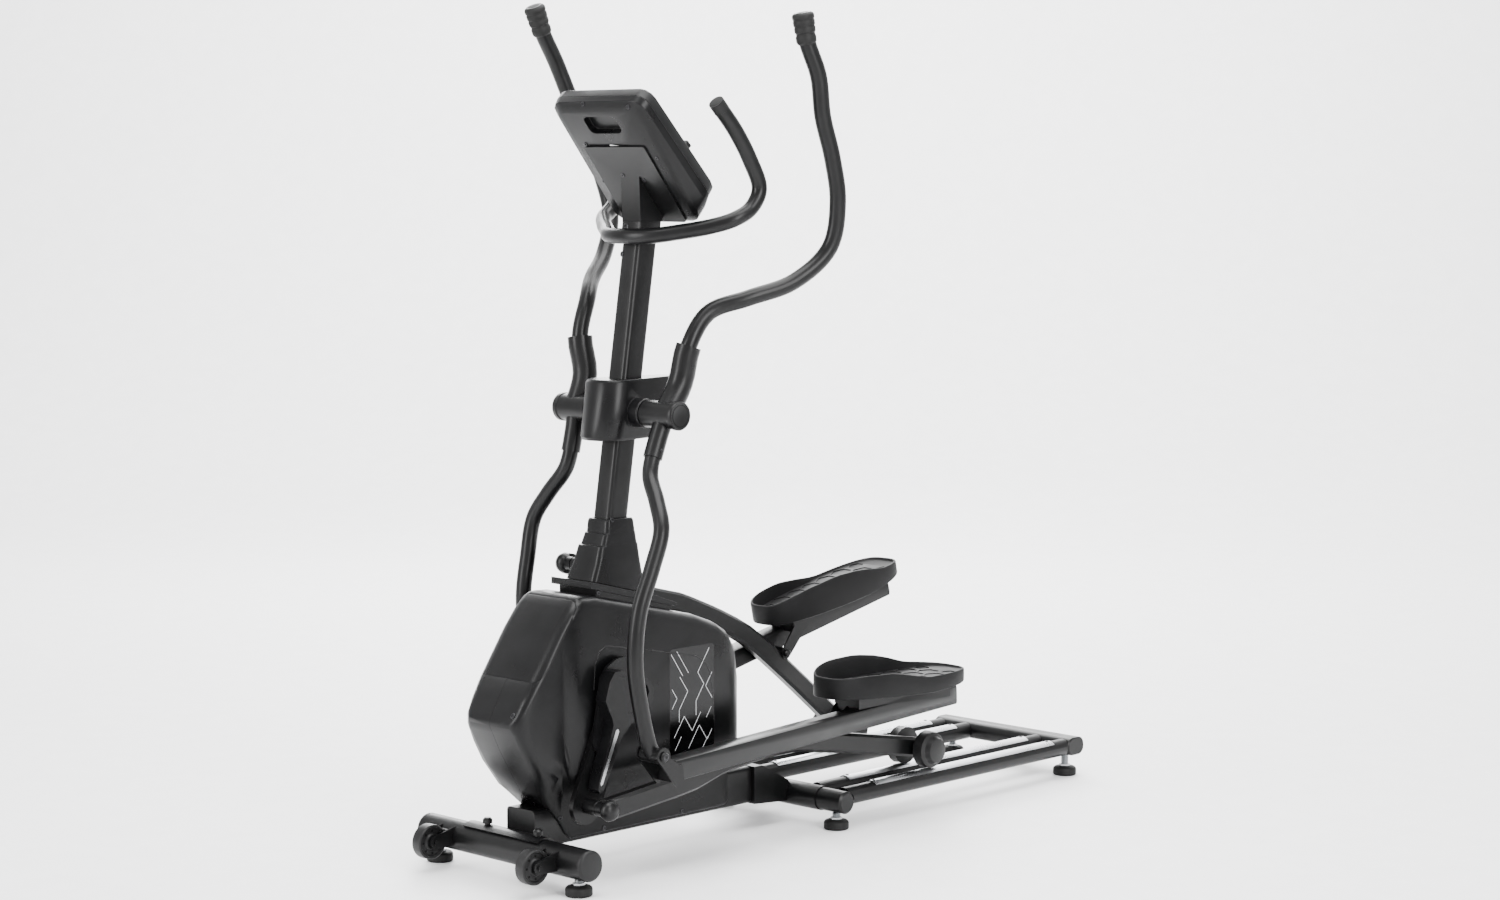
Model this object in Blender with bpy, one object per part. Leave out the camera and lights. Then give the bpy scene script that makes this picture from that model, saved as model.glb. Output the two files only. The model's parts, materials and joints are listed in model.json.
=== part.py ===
"""Elliptical trainer: welded steel frame, swinging arms, crank, pedal arms and rail rollers, as separate pieces.

Metres, +Z up, floor at z = 0. +X points to the rear of the machine, -Y is the rider's left.
Positive turns of the drive are counter-clockwise seen from the left side (about -Y): the lower crank pin moves rearwards.
"""
import math

import bmesh
import bpy
import numpy as np
from mathutils import Matrix, Vector

# ---------------------------------------------------------------- driving dimensions
SHIFT_X = -0.73475            # puts the origin under the middle of the whole machine

# drive: crank centre, crank radius, rest angle of the left pin ahead of straight down
CRANK_X, CRANK_Z = 0.208, 0.3506
CRANK_R = 0.2333
CRANK_TH = 0.4016
LINK_L = 0.9122              # crank pin to roller axle
ROLLER_Z = 0.1275            # roller axle height
SWING_X, SWING_Z = 0.301, 0.881   # pivot of both swing arms
SWING_R = 0.650              # pivot to lower clevis bolt
SWING_A_L = -0.1764          # left arm leans forward at its lower end
SWING_STEP = 0.2157          # the right arm is turned this much rearwards of the left
LUG_A, LUG_B = 0.6477, 0.0695     # pedal lug on the link, along and above the pin-to-roller line

Y_SHELL = 0.085              # half width of the drive housing
Y_CRANK = (0.0875, 0.0985)   # flat crank bar
Y_COVER = (0.0988, 0.1335)   # plastic cover over the crank bar
Y_LINK = 0.151               # link centre at the crank end
Y_LINK_R = 0.141             # link centre at the roller end
Y_SOCKET = 0.127             # swing arm sockets
Y_SWING = 0.209              # swing arm foot
Y_ARM_R = 0.150              # pedal arm centre at its rear end
Y_RAIL_I, Y_RAIL_O = 0.104, 0.178
RAIL_R = 0.019
RAIL_Z = 0.067
RAIL_X0, RAIL_X1 = 0.7725, 1.4815
STRIP_X0, STRIP_X1 = 0.845, 1.438
WHEEL_R = 0.0388
ST_R, ST_Z, ST_Y = 0.030, 0.0604, 0.228
MID_X, MID_Z, MID_R, MID_Y = 0.750, 0.058, 0.0235, 0.199
REAR_X, REAR_Z, REAR_Y = 1.512, 0.068, 0.198
BEAM_Z0, BEAM_Z1, BEAM_Y = 0.053, 0.129, 0.040
MAST_LEAN = 0.152            # metres rearwards per metre of height
MAST_X0 = 0.1715             # mast axis at floor level
MAST_A, MAST_B = 0.027, 0.024     # half section along x and y
GAP = 0.0003

for ob in list(bpy.data.objects):
    bpy.data.objects.remove(ob, do_unlink=True)

# ---------------------------------------------------------------- materials
MATS = {}


def mat(name, col, rough, metal=0.0, alpha=1.0):
    m = bpy.data.materials.new(name)
    m.use_nodes = True
    b = m.node_tree.nodes["Principled BSDF"]
    b.inputs["Base Color"].default_value = (col[0], col[1], col[2], 1.0)
    b.inputs["Roughness"].default_value = rough
    b.inputs["Metallic"].default_value = metal
    m.diffuse_color = (col[0], col[1], col[2], 1.0)
    MATS[name] = m
    return m


mat("powder_coat", (0.022, 0.022, 0.024), 0.42, 0.0)
mat("housing_plastic", (0.020, 0.020, 0.022), 0.36)
mat("trim_plastic", (0.030, 0.030, 0.032), 0.50)
mat("grip_rubber", (0.016, 0.016, 0.017), 0.72)
mat("pedal_plastic", (0.024, 0.024, 0.026), 0.58)
mat("wheel_plastic", (0.020, 0.020, 0.021), 0.50)
mat("rail_aluminium", (0.70, 0.71, 0.73), 0.30, 1.0)
mat("zinc_steel", (0.55, 0.56, 0.58), 0.35, 1.0)
mat("cast_flywheel", (0.25, 0.25, 0.26), 0.45, 1.0)
mat("display_glass", (0.030, 0.040, 0.050), 0.12)

# ---------------------------------------------------------------- mesh helpers


def rot(v, a):
    c, s = math.cos(a), math.sin(a)
    return np.array([v[0] * c - v[1] * s, v[0] * s + v[1] * c])


def make(name, verts, faces, material, sharp=35.0):
    me = bpy.data.meshes.new(name)
    me.from_pydata([tuple(v) for v in verts], [], [tuple(f) for f in faces])
    me.validate()
    ob = bpy.data.objects.new(name, me)
    bpy.context.scene.collection.objects.link(ob)
    me.materials.append(MATS[material])
    me.polygons.foreach_set("use_smooth", [True] * len(me.polygons))
    me.set_sharp_from_angle(angle=math.radians(sharp))
    return ob


def refresh(ob, sharp=35.0):
    me = ob.data
    me.polygons.foreach_set("use_smooth", [True] * len(me.polygons))
    me.set_sharp_from_angle(angle=math.radians(sharp))


def boolean(a, b, op):
    m = a.modifiers.new("b", "BOOLEAN")
    m.operation = op
    m.solver = "EXACT"
    m.object = b
    bpy.context.view_layer.update()
    dg = bpy.context.evaluated_depsgraph_get()
    me = bpy.data.meshes.new_from_object(a.evaluated_get(dg))
    a.modifiers.clear()
    a.data = me
    bpy.data.objects.remove(b, do_unlink=True)
    refresh(a)
    return a


def union(name, obs):
    a = obs[0]
    for b in obs[1:]:
        boolean(a, b, "UNION")
    a.name = name
    a.data.name = name
    return a


def cut(a, *bs):
    for b in bs:
        boolean(a, b, "DIFFERENCE")
    return a


def frames(P, up=(0, 0, 1)):
    """Turning frames along a path, kept from twisting."""
    P = np.asarray(P, float)
    t = np.zeros_like(P)
    t[1:-1] = P[2:] - P[:-2]
    t[0] = P[1] - P[0]
    t[-1] = P[-1] - P[-2]
    t /= np.linalg.norm(t, axis=1)[:, None]
    u = np.array(up, float)
    out = []
    for k in range(len(P)):
        n = u - t[k] * (u @ t[k])
        n /= np.linalg.norm(n)
        out.append((n, np.cross(t[k], n)))
        u = n
    return t, out


def circle(r, n, ph=0.0):
    a = np.linspace(0, 2 * math.pi, n, endpoint=False) + ph
    return np.stack([r * np.cos(a), r * np.sin(a)], 1)


def rrect(a, b, r, n=3):
    """Rounded rectangle, half sizes a and b, corner radius r, n segments a corner, counter-clockwise."""
    pts = []
    for cx, cy, a0 in ((a - r, b - r, 0), (-a + r, b - r, 90), (-a + r, -b + r, 180), (a - r, -b + r, 270)):
        for k in range(n + 1):
            t = math.radians(a0 + 90.0 * k / n)
            pts.append((cx + r * math.cos(t), cy + r * math.sin(t)))
    return np.array(pts)


def skin(rings, closed_ends=True):
    n = len(rings[0])
    verts = [tuple(p) for ring in rings for p in ring]
    faces = []
    for k in range(len(rings) - 1):
        for i in range(n):
            j = (i + 1) % n
            faces.append((k * n + i, k * n + j, (k + 1) * n + j, (k + 1) * n + i))
    if closed_ends:
        faces.append(tuple(range(n))[::-1])
        faces.append(tuple((len(rings) - 1) * n + i for i in range(n)))
    return verts, faces


def outward(ob):
    """Turns the faces outwards if the body is inside out."""
    me = ob.data
    vol = 0.0
    me.calc_loop_triangles()
    vs = me.vertices
    for t in me.loop_triangles:
        a, b, c = (vs[i].co for i in t.vertices)
        vol += a.dot(b.cross(c))
    if vol < 0:
        me.flip_normals()
    return ob


def tidy(ob):
    """Makes all faces agree, pointing outwards."""
    bm = bmesh.new()
    bm.from_mesh(ob.data)
    bmesh.ops.recalc_face_normals(bm, faces=bm.faces)
    bm.to_mesh(ob.data)
    bm.free()
    return outward(ob)


def sweep(name, P, section, material, up=(0, 0, 1), scale=None, hollow=None, sharp=35.0):
    """Section (in normal, binormal) carried along P. hollow is a smaller section for an open tube."""
    P = np.asarray(P, float)
    t, fr = frames(P, up)
    rings = []
    for k in range(len(P)):
        s = 1.0 if scale is None else scale[k]
        n, b = fr[k]
        rings.append([P[k] + s * (x * n + y * b) for x, y in section])
    if hollow is None:
        v, f = skin(rings)
        return outward(make(name, v, f, material, sharp))
    inner = []
    for k in range(len(P)):
        n, b = fr[k]
        inner.append([P[k] + x * n + y * b for x, y in hollow])
    n = len(section)
    v, f = skin(rings, False)
    v2, f2 = skin(inner, False)
    base = len(v)
    v = v + v2
    f = f + [tuple(base + i for i in q)[::-1] for q in f2]
    last = (len(P) - 1) * n
    for i in range(n):
        j = (i + 1) % n
        f.append((i, base + i, base + j, j))
        f.append((last + i, last + j, base + last + j, base + last + i))
    return outward(make(name, v, f, material, sharp))


def smooth_path(P, per=6):
    """Centripetal curve through the points."""
    P = np.asarray(P, float)
    Q = np.vstack([2 * P[0] - P[1], P, 2 * P[-1] - P[-2]])
    out = []
    for k in range(1, len(Q) - 2):
        p0, p1, p2, p3 = Q[k - 1], Q[k], Q[k + 1], Q[k + 2]
        t0 = 0.0
        t1 = t0 + np.linalg.norm(p1 - p0) ** 0.5
        t2 = t1 + np.linalg.norm(p2 - p1) ** 0.5
        t3 = t2 + np.linalg.norm(p3 - p2) ** 0.5
        for i in range(per):
            t = t1 + (t2 - t1) * i / per
            a1 = p0 * (t1 - t) / (t1 - t0) + p1 * (t - t0) / (t1 - t0)
            a2 = p1 * (t2 - t) / (t2 - t1) + p2 * (t - t1) / (t2 - t1)
            a3 = p2 * (t3 - t) / (t3 - t2) + p3 * (t - t2) / (t3 - t2)
            b1 = a1 * (t2 - t) / (t2 - t0) + a2 * (t - t0) / (t2 - t0)
            b2 = a2 * (t3 - t) / (t3 - t1) + a3 * (t - t1) / (t3 - t1)
            out.append(b1 * (t2 - t) / (t2 - t1) + b2 * (t - t1) / (t2 - t1))
    out.append(P[-1])
    return np.array(out)


def lathe(name, prof, centre, material, axis="Y", n=24, sharp=35.0):
    """Closed (radius, along) profile turned about an axis. Radius 0 points close on the axis."""
    rings = []
    ang = np.linspace(0, 2 * math.pi, n, endpoint=False)
    verts, idx = [], []
    for r, a in prof:
        if r < 1e-9:
            idx.append([len(verts)] * n)
            verts.append((0.0, 0.0, a))
        else:
            idx.append(list(range(len(verts), len(verts) + n)))
            verts += [(r * math.cos(t), r * math.sin(t), a) for t in ang]
    faces = []
    m = len(prof)
    for k in range(m):
        p, q = idx[k], idx[(k + 1) % m]
        if p[0] == p[1] and q[0] == q[1]:
            continue
        for i in range(n):
            j = (i + 1) % n
            if p[0] == p[1]:
                faces.append((p[0], q[j], q[i]))
            elif q[0] == q[1]:
                faces.append((p[i], p[j], q[0]))
            else:
                faces.append((p[i], p[j], q[j], q[i]))
    c = centre
    if axis == "Y":
        verts = [(c[0] + x, c[1] + z, c[2] + y) for x, y, z in verts]
    elif axis == "X":
        verts = [(c[0] + z, c[1] + x, c[2] + y) for x, y, z in verts]
    else:
        verts = [(c[0] + x, c[1] + y, c[2] + z) for x, y, z in verts]
    return outward(make(name, verts, faces, material, sharp))


def rod(name, p, q, r, material, n=20):
    return sweep(name, [p, q], circle(r, n), material, up=(0.3, 0.1, 1) if abs(q[2] - p[2]) > abs(q[0] - p[0]) + abs(q[1] - p[1]) else (0, 0, 1))


def prism_y(name, poly, y0, y1, material, sharp=35.0):
    """Polygon in x, z carried from y0 to y1."""
    rings = [[(x, y0, z) for x, z in poly], [(x, y1, z) for x, z in poly]]
    v, f = skin(rings)
    return outward(make(name, v, f, material, sharp))


def prism_z(name, poly, z0, z1, material, sharp=35.0):
    rings = [[(x, y, z0) for x, y in poly], [(x, y, z1) for x, y in poly]]
    v, f = skin(rings)
    return outward(make(name, v, f, material, sharp))


def box(name, x0, x1, y0, y1, z0, z1, material):
    return prism_z(name, [(x0, y0), (x1, y0), (x1, y1), (x0, y1)], z0, z1, material)


def slab(name, p, q, w0, w1, y0, y1, material, n=8):
    """Bar with round ends from p to q in x, z: half widths w0 and w1, between y0 and y1."""
    p, q = np.array(p, float), np.array(q, float)
    a = math.atan2(q[1] - p[1], q[0] - p[0])
    poly = []
    for k in range(n + 1):
        t = a + math.pi / 2 + math.pi * k / n
        poly.append((p[0] + w0 * math.cos(t), p[1] + w0 * math.sin(t)))
    for k in range(n + 1):
        t = a - math.pi / 2 + math.pi * k / n
        poly.append((q[0] + w1 * math.cos(t), q[1] + w1 * math.sin(t)))
    return prism_y(name, poly, y0, y1, material)


def turn(ob, pivot, a):
    """Turns a mesh by a about the line through pivot (x, z) along -Y."""
    c, s = math.cos(a), math.sin(a)
    for v in ob.data.vertices:
        x, z = v.co.x - pivot[0], v.co.z - pivot[1]
        v.co.x = pivot[0] + x * c - z * s
        v.co.z = pivot[1] + x * s + z * c
    return ob


def mirror(ob):
    for v in ob.data.vertices:
        v.co.y = -v.co.y
    ob.data.flip_normals()
    return ob


def place(ob, pivot=(0.0, 0.0, 0.0)):
    """Puts the object's origin on its pivot, in the shifted frame."""
    for v in ob.data.vertices:
        v.co.x -= pivot[0]
        v.co.y -= pivot[1]
        v.co.z -= pivot[2]
    ob.location = (pivot[0] + SHIFT_X, pivot[1], pivot[2])
    return ob


STATIC = []


def static(ob):
    place(ob)
    STATIC.append(ob)
    return ob


# ---------------------------------------------------------------- drive geometry at rest
O = np.array([CRANK_X, CRANK_Z])
T = np.array([SWING_X, SWING_Z])


def side_pose(side):
    th = CRANK_TH
    A = O + CRANK_R * np.array([-math.sin(th), -math.cos(th)])
    sw = SWING_A_L
    if side == "right":
        A = 2 * O - A
        sw = SWING_A_L + SWING_STEP
    R = np.array([A[0] + math.sqrt(LINK_L ** 2 - (A[1] - ROLLER_Z) ** 2), ROLLER_Z])
    la = math.atan2(R[1] - A[1], R[0] - A[0])
    P = A + rot((LUG_A, LUG_B), la)
    S = T + SWING_R * np.array([math.sin(sw), -math.cos(sw)])
    return A, R, la, P, S


# ---------------------------------------------------------------- frame
beam = sweep("main_beam", [(0.034, 0, 0.091), (0.632, 0, 0.091)], rrect(0.038, BEAM_Y, 0.008), "powder_coat", hollow=rrect(0.0355, BEAM_Y - 0.0025, 0.0055))
cut(beam, lathe("c", [(0, -0.3), (ST_R + 0.0006, -0.3), (ST_R + 0.0006, 0.3), (0, 0.3)], (0, 0, ST_Z), "powder_coat", n=24))

stab = sweep("front_stabilizer", [(0, -ST_Y, ST_Z), (0, ST_Y, ST_Z)], circle(ST_R, 20), "powder_coat", hollow=circle(ST_R - 0.0025, 20))
for s, nm in ((-1, "left"), (1, "right")):
    prof = [(0, 0.010), (0.025, 0.010), (0.0285, 0.0085), (ST_R, 0.005), (ST_R, GAP), (0.0271, GAP), (0.0271, -0.018), (0, -0.018)]
    cap = lathe("stabilizer_cap_" + nm, [(r, s * a) for r, a in prof], (0, s * ST_Y, ST_Z), "trim_plastic", n=20)
    static(cap)

# curved plate bolted over the stabilizer, with its two bolts
arc = []
for k in range(6):
    t = math.radians(38 + 88 * k / 5)
    arc.append((math.cos(t) * (ST_R + 0.0009), ST_Z + math.sin(t) * (ST_R + 0.0009)))
for k in range(6):
    t = math.radians(126 - 88 * k / 5)
    arc.append((math.cos(t) * (ST_R + 0.0052), ST_Z + math.sin(t) * (ST_R + 0.0045)))
sad = [prism_y("saddle_plate", arc, -0.108, 0.108, "powder_coat")]
for y in (-0.088, 0.058):
    sad.append(lathe("b", [(0, 0.0), (0.0055, 0.0), (0.0055, 0.006), (0.0095, 0.006), (0.0095, 0.013), (0.006, 0.017), (0, 0.017)], (0, y, ST_Z + ST_R + 0.001), "zinc_steel", axis="Z", n=12))
static(union("saddle_plate", sad))

# transport wheels in forks welded to the stabilizer
TW_X, TW_Z, TW_Y = -0.070, 0.058, 0.150
forks = []
for s, nm in ((-1, "left"), (1, "right")):
    y = s * TW_Y
    parts = []
    for d in (-0.0185, 0.0185):
        parts.append(slab("f", (TW_X, TW_Z), (-0.014, ST_Z + 0.004), 0.013, 0.019, y + d - 0.002, y + d + 0.002, "powder_coat"))
    parts.append(box("w", -0.034, -0.026, y - 0.0175, y + 0.0175, TW_Z - 0.014, TW_Z + 0.018, "powder_coat"))
    parts.append(rod("p", (TW_X, y - 0.024, TW_Z), (TW_X, y + 0.024, TW_Z), 0.005, "powder_coat", 12))
    fork = union("f", [parts[0], parts[2], parts[1], parts[3]])
    cut(fork, rod("c", (0, -0.3, ST_Z), (0, 0.3, ST_Z), ST_R - 0.001, "powder_coat", 12))
    forks.append(fork)
    w = lathe("transport_wheel_" + nm, [(0.0054, -0.0125), (0.016, -0.0125), (0.018, -0.009), (0.026, -0.009), (0.028, -0.0125), (0.032, -0.0125), (0.034, -0.010), (0.034, 0.010), (0.032, 0.0125), (0.028, 0.0125), (0.026, 0.009), (0.018, 0.009), (0.016, 0.0125), (0.0054, 0.0125)], (TW_X, y, TW_Z), "wheel_plastic", n=16)
    place(w, (TW_X, y, TW_Z))
static(union("front_stabilizer", [stab] + forks))

# mid and rear crossbars
mid = lathe("mid_crossbar", [(0, -MID_Y), (0.019, -MID_Y), (MID_R, -MID_Y + 0.004), (MID_R, -0.13), (MID_R + 0.002, -0.13), (MID_R + 0.002, 0.13), (MID_R, 0.13), (MID_R, MID_Y - 0.004), (0.019, MID_Y), (0, MID_Y)], (MID_X, 0, MID_Z), "powder_coat", n=20)
static(mid)
rsec = rrect(0.020, 0.029, 0.018, 4)
ys = [-REAR_Y, -REAR_Y + 0.003, REAR_Y - 0.003, REAR_Y]
rear = sweep("rear_crossbar", [(REAR_X, y, REAR_Z) for y in ys], rsec, "powder_coat", scale=[0.88, 1, 1, 0.88])

# saddle welded to the end of the beam, resting against the mid crossbar
gus = prism_y("g", [(0.629, 0.052), (0.629, 0.130), (0.652, 0.130), (0.730, 0.088), (0.742, 0.070), (0.742, 0.045), (0.72, 0.045)], -0.050, 0.050, "powder_coat")
cut(gus, lathe("c", [(0, -0.3), (MID_R + 0.002 + GAP, -0.3), (MID_R + 0.002 + GAP, 0.3), (0, 0.3)], (MID_X, 0, MID_Z), "powder_coat", n=28))
static(union("main_beam", [beam, gus]))

# levelling feet
for x, yy, top, nm in ((0.0, 0.202, ST_Z - ST_R, "front"), (MID_X, 0.168, MID_Z - MID_R, "mid"), (REAR_X, 0.165, REAR_Z - 0.020, "rear")):
    for s, sd in ((-1, "left"), (1, "right")):
        f = lathe("foot_%s_%s" % (nm, sd), [(0, 0), (0.024, 0), (0.026, 0.003), (0.026, 0.014), (0.022, 0.0185), (0.0085, 0.0210), (0.0085, top - 0.0004), (0, top - 0.0004)], (x, s * yy, 0), "grip_rubber", axis="Z", n=12)
        static(f)

# rails and their running strips
for s, sd in ((-1, "left"), (1, "right")):
    for yy, io in ((Y_RAIL_I, "inner"), (Y_RAIL_O, "outer")):
        rail = sweep("rail_%s_%s" % (sd, io), [(RAIL_X0 - 0.012, s * yy, RAIL_Z), (RAIL_X1 + 0.006, s * yy, RAIL_Z)], circle(RAIL_R, 14), "powder_coat", hollow=circle(RAIL_R - 0.002, 14))
        rr = MID_R + GAP if yy > 0.13 else MID_R + 0.002 + GAP
        cut(rail, lathe("c", [(0, -0.3), (rr, -0.3), (rr, 0.3), (0, 0.3)], (MID_X, 0, MID_Z), "powder_coat", n=20),
            sweep("c2", [(REAR_X, -0.3, REAR_Z), (REAR_X, 0.3, REAR_Z)], rrect(0.020 + GAP, 0.029 + GAP, 0.018, 4), "powder_coat"))
        static(rail)
        arc = []
        for k in range(7):
            t = math.radians(42 + 96 * k / 6)
            arc.append((math.cos(t) * (RAIL_R + GAP), math.sin(t) * (RAIL_R + GAP)))
        for k in range(7):
            t = math.radians(138 - 96 * k / 6)
            arc.append((math.cos(t) * (RAIL_R + 0.0023), math.sin(t) * (RAIL_R + 0.0023)))
        v, f = skin([[(x, s * yy + a, RAIL_Z + b) for a, b in arc] for x in (STRIP_X0, STRIP_X1)])
        static(outward(make("rail_strip_%s_%s" % (sd, io), v, f, "rail_aluminium")))

# rear crossbar with its welded carry handle
hp = [(1.536, 0.110, 0.070), (1.552, 0.110, 0.070), (1.561, 0.106, 0.070), (1.566, 0.096, 0.070), (1.566, -0.096, 0.070), (1.561, -0.106, 0.070), (1.552, -0.110, 0.070), (1.536, -0.110, 0.070)]
static(union("rear_crossbar", [rear, sweep("h", hp, circle(0.0075, 12), "powder_coat")]))


# mast
def mast_x(z):
    return MAST_X0 + MAST_LEAN * z


MS = rrect(MAST_A, MAST_B, 0.009)
MZ0, MZ1 = 0.1293, 1.238


def mast_ring(z, sec):
    return [(mast_x(z) + x, y, z) for x, y in sec]


def mast_solid(name, sec, z0, z1, material):
    v, f = skin([mast_ring(z0, sec), mast_ring(z1, sec)])
    return outward(make(name, v, f, material))


mast = mast_solid("mast", MS, MZ0, MZ1, "powder_coat")
cut(mast, mast_solid("c", rrect(MAST_A - 0.0025, MAST_B - 0.0025, 0.0065), 0.10, 1.30, "powder_coat"))
cut(mast, rod("c", (SWING_X, -0.1, SWING_Z), (SWING_X, 0.1, SWING_Z), 0.0105, "powder_coat", 14),
    rod("c", (CRANK_X, -0.1, CRANK_Z), (CRANK_X, 0.1, CRANK_Z), 0.0210, "powder_coat", 16))
static(mast)

# pivot shroud round the mast
sec = []
for k in range(7):
    t = math.radians(90 + 180 * k / 6)
    sec.append((0.262 + 0.045 * math.cos(t), 0.052 * math.sin(t)))
for k in range(4):
    t = math.radians(-60 + 120 * k / 3)
    sec.append((0.408 + 0.022 * math.cos(t), 0.026 * math.sin(t)))
shr_rings = []
for z, dx, sc in ((0.828, -0.004, 0.95), (0.834, -0.003, 1.0), (0.940, 0.012, 1.0), (0.946, 0.013, 0.95)):
    shr_rings.append([(0.310 + (x - 0.310) * sc + dx, y * sc, z) for x, y in sec])
v, f = skin(shr_rings)
shroud = outward(make("pivot_shroud", v, f, "housing_plastic"))
bosses = [shroud]
for s in (-1, 1):
    bosses.append(lathe("b", [(0, s * 0.03), (0.029, s * 0.03), (0.029, s * 0.0745), (0.027, s * 0.0765), (0, s * 0.0765)], (SWING_X, 0, SWING_Z), "housing_plastic", n=18))
shroud = union("pivot_shroud", bosses)
cut(shroud, mast_solid("c", rrect(MAST_A + 0.0005, MAST_B + 0.0005, 0.0095), 0.75, 1.0, "powder_coat"), rod("c", (SWING_X, -0.1, SWING_Z), (SWING_X, 0.1, SWING_Z), 0.0105, "powder_coat", 14))
static(shroud)
static(rod("pivot_axle", (SWING_X, -0.163, SWING_Z), (SWING_X, 0.163, SWING_Z), 0.010, "zinc_steel", 24))

# ---------------------------------------------------------------- drive housing
# (x, top z, bottom z, half width, corner radius) of the outer skin
SEC = [(-0.043, 0.312, 0.301, 0.060, 0.004), (-0.036, 0.324, 0.287, 0.072, 0.010), (-0.020, 0.352, 0.254, 0.079, 0.018), (0.004, 0.391, 0.212, 0.083, 0.022),
       (0.034, 0.434, 0.162, 0.085, 0.024), (0.066, 0.481, 0.128, 0.085, 0.024), (0.095, 0.517, 0.098, 0.085, 0.024), (0.110, 0.531, 0.074, 0.085, 0.024),
       (0.125, 0.5375, 0.062, 0.085, 0.024), (0.160, 0.536, 0.062, 0.085, 0.024), (0.430, 0.472, 0.062, 0.085, 0.024), (0.490, 0.450, 0.062, 0.085, 0.024), (0.520, 0.432, 0.062, 0.084, 0.024),
       (0.538, 0.405, 0.062, 0.082, 0.022), (0.550, 0.345, 0.063, 0.077, 0.014), (0.555, 0.285, 0.070, 0.066, 0.005)]
SKIRT_Y = 0.0455             # half width where the housing wraps the beam


def taper(y, z, w, d):
    """Narrows the housing towards the beam below z = 0.20."""
    if z >= 0.200:
        return y
    k = max(0.0, (z - 0.125) / 0.075)
    wz = SKIRT_Y - d + (w - SKIRT_Y + d) * (3 * k * k - 2 * k ** 3)
    return y * min(1.0, wz / w)


def half_section(x, zt, zb, w, r, d):
    """Left half section from top centre round to bottom centre, set in by d."""
    zt, zb, w = zt - d, zb + d, w - d
    r = min(r, 0.49 * (zt - zb))
    r = max(r - d, 0.0015)
    pts = [(0.0, zt)]
    for k in range(4):
        t = math.radians(90 + 90 * k / 3)
        pts.append((-(w - r) + r * math.cos(t), zt - r + r * math.sin(t)))
    lo = zb + min(r, 0.006) if zb < 0.12 else zb + r
    rb = lo - zb
    zs = [0.20, 0.175, 0.150, 0.125]
    top = zt - r
    for z in zs:
        f = (z - 0.125) / 0.175
        if top > 0.31 and lo < 0.12:
            pts.append((-w, z))
        else:
            pts.append((-w, lo + (top - lo) * (0.85 - 0.7 * (1 - f))))
    for k in range(3):
        t = math.radians(180 + 90 * k / 2)
        pts.append((-(w - rb) + rb * math.cos(t), lo + rb * math.sin(t)))
    pts.append((0.0, zb))
    return [(x, taper(y, z, w, d), z) for y, z in pts]


def housing_half(name, side):
    outer = [half_section(*s, 0.0) for s in SEC]
    inner = []
    wall = 0.003
    for x, zt, zb, w, r in SEC[2:-1]:
        inner.append(half_section(x, zt - 0.001, zb + 0.001, w, r, wall))
    no = len(outer[0])
    verts = [p for ring in outer for p in ring]
    base = len(verts)
    verts += [p for ring in inner for p in ring]
    f = []
    for k in range(len(outer) - 1):
        for i in range(no - 1):
            f.append((k * no + i, k * no + i + 1, (k + 1) * no + i + 1, (k + 1) * no + i))
    f.append(tuple(range(no))[::-1])
    last = (len(outer) - 1) * no
    f.append(tuple(last + i for i in range(no)))
    for k in range(len(inner) - 1):
        for i in range(no - 1):
            f.append((base + (k + 1) * no + i, base + (k + 1) * no + i + 1, base + k * no + i + 1, base + k * no + i))
    f.append(tuple(base + i for i in range(no)))
    bl = base + (len(inner) - 1) * no
    f.append(tuple(bl + i for i in range(no))[::-1])
    # rim on the mid plane
    oloop = [k * no for k in range(len(outer))] + [k * no + no - 1 for k in range(len(outer))][::-1]
    iloop = [base + k * no for k in range(len(inner))] + [base + k * no + no - 1 for k in range(len(inner))][::-1]
    m, n = len(outer), len(inner)
    # top strip
    off = 2
    for k in range(n - 1):
        f.append((base + k * no, base + (k + 1) * no, (k + off + 1) * no, (k + off) * no))
        f.append((base + (k + 1) * no + no - 1, base + k * no + no - 1, (k + off) * no + no - 1, (k + off + 1) * no + no - 1))
    f.append(tuple([k * no for k in range(off, -1, -1)] + [k * no + no - 1 for k in range(0, off + 1)] + [base + no - 1, base]))
    e = off + n - 1
    f.append(tuple([bl, bl + no - 1] + [k * no + no - 1 for k in range(e, m)] + [k * no for k in range(m - 1, e - 1, -1)]))
    if side > 0:
        verts = [(x, -y, z) for x, y, z in verts]
    # a hair off the mid plane
    verts = [(x, y + side * 0.0002, z) for x, y, z in verts]
    return tidy(make(name, verts, f, "housing_plastic", 40))


SEAM = [(-0.25, 0.386), (-0.004, 0.386), (0.008, 0.3885), (0.020, 0.397), (0.034, 0.414), (0.066, 0.463), (0.094, 0.500), (0.108, 0.520), (0.118, 0.548), (0.118, 0.60), (-0.25, 0.60)]


def seam_poly(d):
    P = np.array(SEAM)
    out = []
    n = len(P)
    for i in range(n):
        a, b, c = P[i - 1], P[i], P[(i + 1) % n]
        e1 = (b - a) / np.linalg.norm(b - a)
        e2 = (c - b) / np.linalg.norm(c - b)
        n1, n2 = np.array([e1[1], -e1[0]]), np.array([e2[1], -e2[0]])
        q = n1 + n2
        out.append(tuple(b + q / (q @ q) * 2 * d if q @ q > 1e-9 else b))
    return out


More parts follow.
